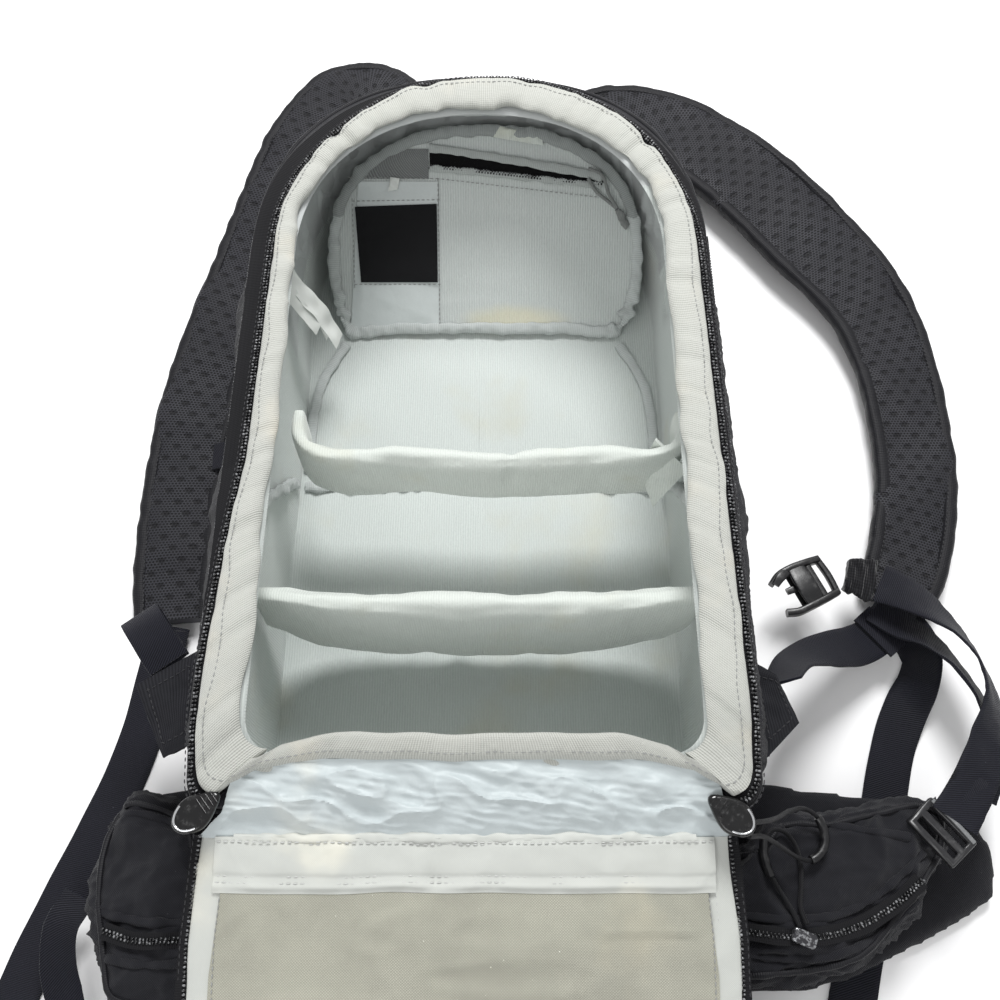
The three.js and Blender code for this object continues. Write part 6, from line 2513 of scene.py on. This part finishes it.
@dataclass
class Padding:
    """Swelled cloth pieces of the body and the belt."""

    def soft(
        self, node: str, name: str, look: Finish, slot: str, puff: Puff,
        fields: tuple[Ripple, ...], fill: float,
    ) -> bpy.types.Object:
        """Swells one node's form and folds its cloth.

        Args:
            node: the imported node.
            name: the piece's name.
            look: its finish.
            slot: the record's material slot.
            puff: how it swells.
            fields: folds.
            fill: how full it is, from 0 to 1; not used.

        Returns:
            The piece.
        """
        piece = Maker.copy(node, name)
        puff(piece)
        points = Maker.points(piece)
        Maker.ripple(piece, *fields, mask=smooth((points[:, 2] - 2) / 6))
        keep_above_floor(piece)
        Maker.finish(piece, look, slot, (node,))
        return piece

    def build(self) -> None:
        """Makes the pads, the side pockets, the wings and the pouches."""
        flat = Puff(voxel=4.0, pressure=3.0, cap=1.6, shrink=0.8, levels=0, soften=3)
        for node in ("back_pad", "lumbar_pad"):
            fields = (Ripple(251, 60, 0.5), Ripple(252, 24, 0.3))
            self.soft(node, node + "_mesh", BOXED_MESH, "black_mesh", flat, fields, 0.5)
        for side, seed in (("left", 261), ("right", 271)):
            fields = (
                Ripple(seed, 60, 1.2, (0.6, 1.2, 1), crease=0.4),
                Ripple(seed + 1, 26, 0.9, (1.4, 0.7, 1), crease=0.6), Ripple(seed + 2, 11, 0.3),
            )
            full = Puff(voxel=4.0, pressure=3.5, cap=3.0, shrink=1.6, levels=1, soften=3)
            self.soft(f"side_pocket_{side}", f"side_pocket_{side}_cloth", BOXED_PACK,
                      "pack_cloth", full, fields, 0.3)
            wing = (Ripple(seed + 3, 50, 0.6), Ripple(seed + 4, 20, 0.4, crease=0.5))
            self.soft(f"belt_wing_{side}", f"belt_wing_{side}_cloth", BOXED_PACK,
                      "pack_cloth", flat, wing, 0.4)
            fields = (
                Ripple(seed + 5, 62, 4.2, (1, 1, 0.6), crease=0.7),
                Ripple(seed + 6, 27, 2.0, (1.5, 0.6, 0.6), crease=0.7),
                Ripple(seed + 7, 11, 0.7, (1.3, 0.8, 1), crease=0.5),
            )
            full = Puff(voxel=3.8, pressure=4.0, cap=3.5, shrink=1.8, levels=1, soften=3)
            self.soft(f"belt_pouch_{side}", f"belt_pouch_{side}_cloth", BOXED_PACK,
                      "pack_cloth", full, fields, 0.5)


def draped(target: bpy.types.Object, line: np.ndarray, lift: float) -> np.ndarray:
    """Lays a line on a piece from above.

    Args:
        target: the piece.
        line: points in millimetres.
        lift: height over the surface.

    Returns:
        The points at the surface's height, evened out a little.
    """
    tree = BVHTree.FromObject(target, bpy.context.evaluated_depsgraph_get())
    heights = []
    for x, y, z in line:
        hit = tree.ray_cast(Vector((x * MM, y * MM, 0.12)), Vector((0, 0, -1)))[0]
        heights.append(z if hit is None else hit.z / MM)
    level = np.array(heights)
    kernel = np.hanning(9)[1:-1] / np.hanning(9)[1:-1].sum()
    level = np.convolve(np.pad(level, 3, mode="edge"), kernel, mode="valid")
    return np.column_stack([line[:, :2], level + lift])


@dataclass
class PouchTrim:
    """Piping round both belt pouches and sewn ridges over their zips."""

    outlines: dict[str, tuple[tuple[float, float], ...]] = field(
        default_factory=lambda: {
            "right": (
                (170, -234), (205, -229), (242, -226), (272, -224), (284, -230), (284, -250),
                (266, -278), (243, -306), (224, -321), (205, -329), (150, -332), (114, -328),
                (114, -264), (150, -254),
            ),
            "left": (
                (-214, -220), (-192, -220), (-170, -229), (-150, -254), (-114, -264),
                (-114, -340), (-150, -350), (-204, -346), (-216, -322), (-224, -300),
                (-230, -270), (-226, -238),
            ),
        }
    )
    ridges: dict[str, tuple[tuple[tuple[float, float], ...], ...]] = field(
        default_factory=lambda: {
            "right": (
                ((136, -290), (172, -294), (196, -293), (218, -286), (240, -272), (258, -258)),
                ((140, -311), (176, -314), (200, -312), (226, -302), (250, -284)),
                ((196, -240), (222, -246), (250, -250)),
            ),
            "left": (
                ((-214, -290), (-190, -295), (-168, -296), (-142, -292)),
                ((-212, -313), (-186, -317), (-160, -316), (-142, -312)),
                ((-212, -236), (-190, -238), (-168, -246)),
            ),
        }
    )

    def build(self) -> None:
        """Makes the piping and the ridges."""
        for side, outline in self.outlines.items():
            pouch = bpy.data.objects[f"belt_pouch_{side}_cloth"]
            flat = np.column_stack([np.array(outline, float), np.full(len(outline), 50.0)])
            middle = flat.mean(axis=0)
            away = flat - middle
            far = np.linalg.norm(away[:, :2], axis=1, keepdims=True)
            ring = middle + away * (1 - 13.5 / far)
            route = Route(ring, True)
            line = draped(pouch, route.at(route.even(140))[:-1], 0.6)
            rows = rows_of(line)
            tube(f"pouch_{side}_piping", rows, 3.6, 3.0, STRAP_EDGE, "pack_cloth", loop=True,
                 wave=0.3)
            for index, ridge in enumerate(self.ridges[side]):
                flat = np.column_stack([np.array(ridge, float), np.full(len(ridge), 55.0)])
                route = Route(flat)
                line = draped(pouch, route.at(route.even(50)), 0.3)
                rows = rows_of(line)
                tube(f"pouch_{side}_ridge_{index}", rows, 4.6, 2.6, BOXED_PACK, "pack_cloth",
                     wave=0.5)


@dataclass
class Zips:
    """Closed zips of the side pockets and the belt pouches."""

    def build(self) -> None:
        """Makes all four zips with their coils."""
        xyz = "x y z"
        closed = {
            "right": table(xyz, (146, -300, 60.9), (172, -303, 60.9), (192, -303, 60.9),
                           (215, -297, 60.9), (236, -286, 60.9), (252, -274, 60.9)),
            "left": table(xyz, (-208, -300, 60.9), (-190, -305, 60.9), (-168, -305, 60.9),
                          (-146, -302, 60.9)),
        }
        for side, rows in closed.items():
            route = Route(points_of(rows))
            pouch = bpy.data.objects[f"belt_pouch_{side}_cloth"]
            line = draped(pouch, route.at(route.even(60)), 0.8)
            rows = {"x": line[:, 0], "y": line[:, 1], "z": np.maximum(line[:, 2], 59.5)}
            self.closed(f"pouch_zip_{side}", Sweep(rows, 9.0, 2.4))
        y = np.linspace(-182, 116, 24)
        level = WALLS.level(OUTER, 140)
        half = WALLS.half_at(level, y)
        for side, sign in (("left", -1), ("right", 1)):
            rows = {"x": sign * (half + 1.5), "y": y, "z": np.full(24, 140.0)}
            path = Sweep(rows, 8.0, 2.0, side=(0, 0, -sign))
            self.closed(f"side_zip_{side}", path)

    @staticmethod
    def closed(node: str, path: Sweep) -> None:
        """One closed zip: tape and two rows of coil.

        Args:
            node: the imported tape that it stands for.
            path: the tape's middle line.
        """
        length = path.frames(100)["run"][-1]
        tape = Maker.skin(node + "_tape", path.rings(strip_section(9), int(length / 2)), sharp=60)
        Maker.ripple(tape, Ripple(281, 30, 0.4))
        Maker.finish(tape, ZIP_TAPE, "zip_tape", (node,))
        line, up = path.line(0.0, 0.5, int(length))
        other, _ = path.line(0.4, 0.5, int(length))
        COIL.teeth(node + "_coil", COIL.pair(line, up, unit(other - line), 1.7))


@dataclass
class BeltWebbing:
    """The three loose lengths of belt webbing and the elastic keeper."""

    def build(self) -> None:
        """Makes them."""
        leaning = "x y z lean"
        for strip in (
            Strip("belt_webbing_top", table(
                leaning, (275, -242, 65.6, 0), (291, -220, 66, 8), (306, -196, 63, 18),
                (316, -170, 58, 52), (316, -146, 53, 60), (308, -124, 48, 52),
                (294, -106, 44, 30), (278, -93, 41, 8), (265.75, -86.6, 38.55, 0)), fold=0.5),
            Strip("belt_webbing_back", table(
                leaning, (264, -100, 27.4, 0), (278, -112, 29.4, -8), (293, -125, 36, -34),
                (306, -143, 40, -52), (315, -167, 45, -52), (315, -190, 50, -34),
                (307, -210, 53, -10), (297, -226, 55, -4)), 22, fold=0.4),
            Strip("belt_webbing_left", table(
                leaning, (-233, -366, 8, 0), (-240, -340, 12, 10), (-247, -316, 18, 22),
                (-246, -296, 24, 26), (-236.2, -280, 28, 20)), 20, fold=0.3),
        ):
            strip.build()
        rows = table("x y z width", (244.8, -80.2, 37.5, 24), (263, -85.4, 38.4, 31))
        path = Sweep(rows, 24, 6)
        made = Maker.skin("elastic_keeper_fuzzy", path.rings(oval(3.2, 30), 44), sharp=80)
        Maker.ripple(made, Ripple(291, 7, 0.8), Ripple(292, 3.2, 0.5))
        Maker.finish(made, ELASTIC, "elastic", ("elastic_keeper",))


@dataclass
class Hardware:
    """Zip sliders and their grips, the ladder lock and the buckle half."""

    def hard(
        self, node: str, name: str, look: Finish, slot: str, bevel: float = 0.7
    ) -> bpy.types.Object:
        """Copies a node and rounds its edges.

        Args:
            node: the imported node.
            name: the piece's name.
            look: its finish.
            slot: the record's material slot.
            bevel: width of the rounding in millimetres.

        Returns:
            The piece.
        """
        piece = Maker.copy(node, name)
        flat = piece.modifiers.new("flat", "DECIMATE")
        flat.decimate_type = "DISSOLVE"
        flat.angle_limit = math.radians(1.0)
        rounded = piece.modifiers.new("rounded", "BEVEL")
        rounded.width = bevel * MM
        rounded.segments = 3
        rounded.limit_method = "ANGLE"
        rounded.angle_limit = math.radians(28)
        rounded.harden_normals = True
        Maker.bake(piece)
        piece.data.shade_smooth()
        return Maker.finish(piece, look, slot, (node,))

    def build(self) -> None:
        """Makes every hard piece and the cords."""
        self.hard("ladder_lock", "ladder_lock_moulded", DARK_GREY_PLASTIC, "pale_plastic", 0.9)
        # The pale raised bar along the lock's long side is a painted highlight of its edge.
        turned = Matrix.Translation((267.5, -248, 61.8)) @ Matrix.Rotation(-0.88, 4, "Z")
        bar = Sweep(table("x y z", (-15.5, 9.2, 2.6), (0, 9.6, 3.3), (15.5, 9.2, 2.6)), 2.6, 2.0,
                    matrix=turned)
        Maker.finish(Maker.skin("ladder_lock_highlight_bar", bar.rings(oval(3, 14), 30)), HIGHLIGHT_PLASTIC,
                     "pale_plastic")
        BuckleHalf().build()
        self.hard("pouch_slider", "pouch_slider_plated", CHROME_BLACK, "black_plastic", 0.5)
        Knob("left", (-138, -248, 149.2), 0.7).build()
        Knob("right", (128.4, -249.2, 147.3), 2.45).build()
        self.cords()

    def cords(self) -> None:
        """Both black pull cords, each with a moulded end arc."""
        main = np.array([
            (136.9, -253.4, 147.5), (148, -251, 135), (161, -246.2, 110), (176.8, -238.5, 82),
            (189, -236, 69), (196.6, -240.6, 65.5), (199.2, -251.1, 65), (195.8, -259.2, 65),
            (189, -263.5, 65), (181.5, -262.5, 69), (164.2, -257.5, 92), (148, -257.5, 127),
            (137, -259.5, 144.2)])
        pouch = np.array([
            (178.5, -298, 66.5), (176.4, -290, 62.4), (170.4, -278.6, 61.8), (165.4, -268, 62),
            (163.9, -257.8, 62.4), (165.8, -250.6, 62.6), (170.5, -246.6, 62.6),
            (176.7, -247.6, 62.4), (182.2, -254, 61.8), (184.4, -264, 61.4),
            (183.4, -276, 61.4), (181.4, -288, 62), (182.6, -297, 66.5)])
        sets = (
            ("main", main, "main_pull_cord", (0.41, 0.66)),
            ("pouch", pouch, "pouch_pull_cord", (0.22, 0.40)),
        )
        for name, points, node, span in sets:
            route = Route(points)
            line = route.at(route.even(150))
            share = np.linspace(*span, 40)
            arc = route.at(share)
            end = Cords.tube(f"{name}_pull_end", arc, 5.2, SATIN_PLASTIC, "black_plastic")
            Cords.free(f"{name}_pull", line, 2.6, BLACK_CORD, "black_cord", node, [end])


@dataclass
class BuckleHalf:
    """Open half of a side-release buckle: curved rails, jaws, bridge, tab and webbing bars."""

    at: Vec = (216.0, -88.0, 37.0)
    turn: float = 0.42

    def build(self) -> None:
        """Makes the half from rounded bars."""
        turned = Matrix.Translation(self.at) @ Matrix.Rotation(self.turn, 4, "Z")
        xyz = "x y z width thick"
        bars = (
            ("rail_high", table(xyz, (18, 12.6, 0, 5, 8), (8, 13.6, 0.6, 5, 9),
                                (-4, 14.2, 0.8, 5, 9), (-13, 13.2, 0.4, 4.6, 8),
                                (-20, 9.6, 0, 4, 6))),
            ("rail_low", table(xyz, (18, -12.6, 0, 5, 8), (8, -13.6, 0.6, 5, 9),
                               (-4, -14.2, 0.8, 5, 9), (-13, -14.2, 0.4, 5, 8),
                               (-20.4, -11.6, 0, 5, 7))),
            ("bar_outer", table(xyz, (17.4, 13.4, 0, 4.4, 5), (18.4, 0, 0, 4.6, 5),
                                (17.4, -13.4, 0, 4.4, 5))),
            ("bar_inner", table(xyz, (8.6, 13, 0.4, 5, 5), (8.6, -13, 0.4, 5, 5))),
            ("bridge", table(xyz, (0, 13.4, 3.2, 12, 2.6), (-0.4, 5, 4.8, 14, 2.8),
                             (-0.4, -5, 4.8, 14, 2.8), (0, -13.4, 3.2, 12, 2.6))),
            ("bridge_under", table(xyz, (-1, 13.4, -3.6, 12, 2.2), (-1, -13.4, -3.6, 12, 2.2))),
            ("tongue", table(xyz, (4, 0.6, 0.4, 6.6, 4), (-5, 0.8, 0.2, 5.6, 3.6),
                             (-12.6, 1.2, -0.6, 4.4, 3))),
            ("tab", table(xyz, (-7, 12.6, 3.4, 6, 3), (-13, 10.8, 4.4, 6.4, 2.8),
                          (-18.6, 7.6, 3.4, 5, 2.4))),
        )
        parts = []
        for name, rows in bars:
            rings = Sweep(rows, matrix=turned).rings(oval(3.4, 18), 34)
            parts.append(Maker.skin(f"buckle_{name}", rings, sharp=70))
        made = Maker.join("buckle_half_moulded", parts)
        Maker.finish(made, SATIN_PLASTIC, "black_plastic", ("buckle_half",))


@dataclass
class Knob:
    """Glossy teardrop grip with a bright arc at its wide end and ridges at its narrow end."""

    side: str
    at: Vec
    turn: float
    length: float = 27.0
    width: float = 18.0
    high: float = 4.4

    def outline(self, shrink: float) -> np.ndarray:
        """Teardrop outline, wide end at −x.

        Args:
            shrink: share of the full size.

        Returns:
            The points.
        """
        turn = np.linspace(0, 2 * np.pi, 48, endpoint=False)
        x = -np.cos(turn)
        narrow = 1 - 0.42 * smooth((x + 0.25) / 1.25)
        y = np.sin(turn) * narrow
        return np.stack([x * self.length / 2 * shrink, -y * self.width / 2 * shrink], axis=1)

    def build(self) -> None:
        """Makes the grip, its arc and its ridges."""
        frame_at = Matrix.Translation(self.at) @ Matrix.Rotation(self.turn, 4, "Z")
        rings = []
        for shrink, z in ((0.86, -0.5), (0.96, -0.44), (1.0, -0.25), (1.0, 0.12), (0.96, 0.34),
                          (0.86, 0.44), (0.72, 0.47), (0.5, 0.42), (0.25, 0.38)):
            flat = self.outline(shrink)
            rings.append(np.column_stack([flat, np.full(len(flat), z * self.high)]))
        body = Maker.skin(f"grip_{self.side}", placed(np.array(rings), frame_at), sharp=70)
        Maker.finish(body, BLACK_PLASTIC, "black_plastic", (f"slider_knob_{self.side}",))
        turn = np.linspace(-1.15, 1.15, 30)
        arc = np.stack([-np.cos(turn) * self.length * 0.44, np.sin(turn) * self.width * 0.42,
                        np.full(30, self.high * 0.47)], axis=1)
        Cords.tube(f"grip_arc_{self.side}", placed(arc, frame_at), 1.1, CHROME, "black_plastic")
        for index in range(4):
            x = 3.2 + 2.4 * index
            reach = self.width * 0.5 * (0.50 - 0.045 * index)
            bar = np.stack([np.full(8, x), np.linspace(-reach, reach, 8),
                            np.full(8, self.high * (0.47 - 0.012 * index))], axis=1)
            Cords.tube(f"grip_ridge_{self.side}_{index}", placed(bar, frame_at), 1.0,
                       BLACK_PLASTIC, "black_plastic")


def main() -> None:
    """Builds every piece."""
    logging.basicConfig(level=logging.INFO, format="%(message)s")
    Studio().build()
    parts = (
        BodyShell(), Rim(), Lining(), EndPanel(), Dividers(), Lid(), Harness(), Padding(),
        PouchTrim(), Zips(), BeltWebbing(), Hardware(),
    )
    for part in parts:
        LOG.info("building %s", type(part).__name__)
        part.build()
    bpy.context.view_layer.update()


if __name__ == "__main__":
    main()
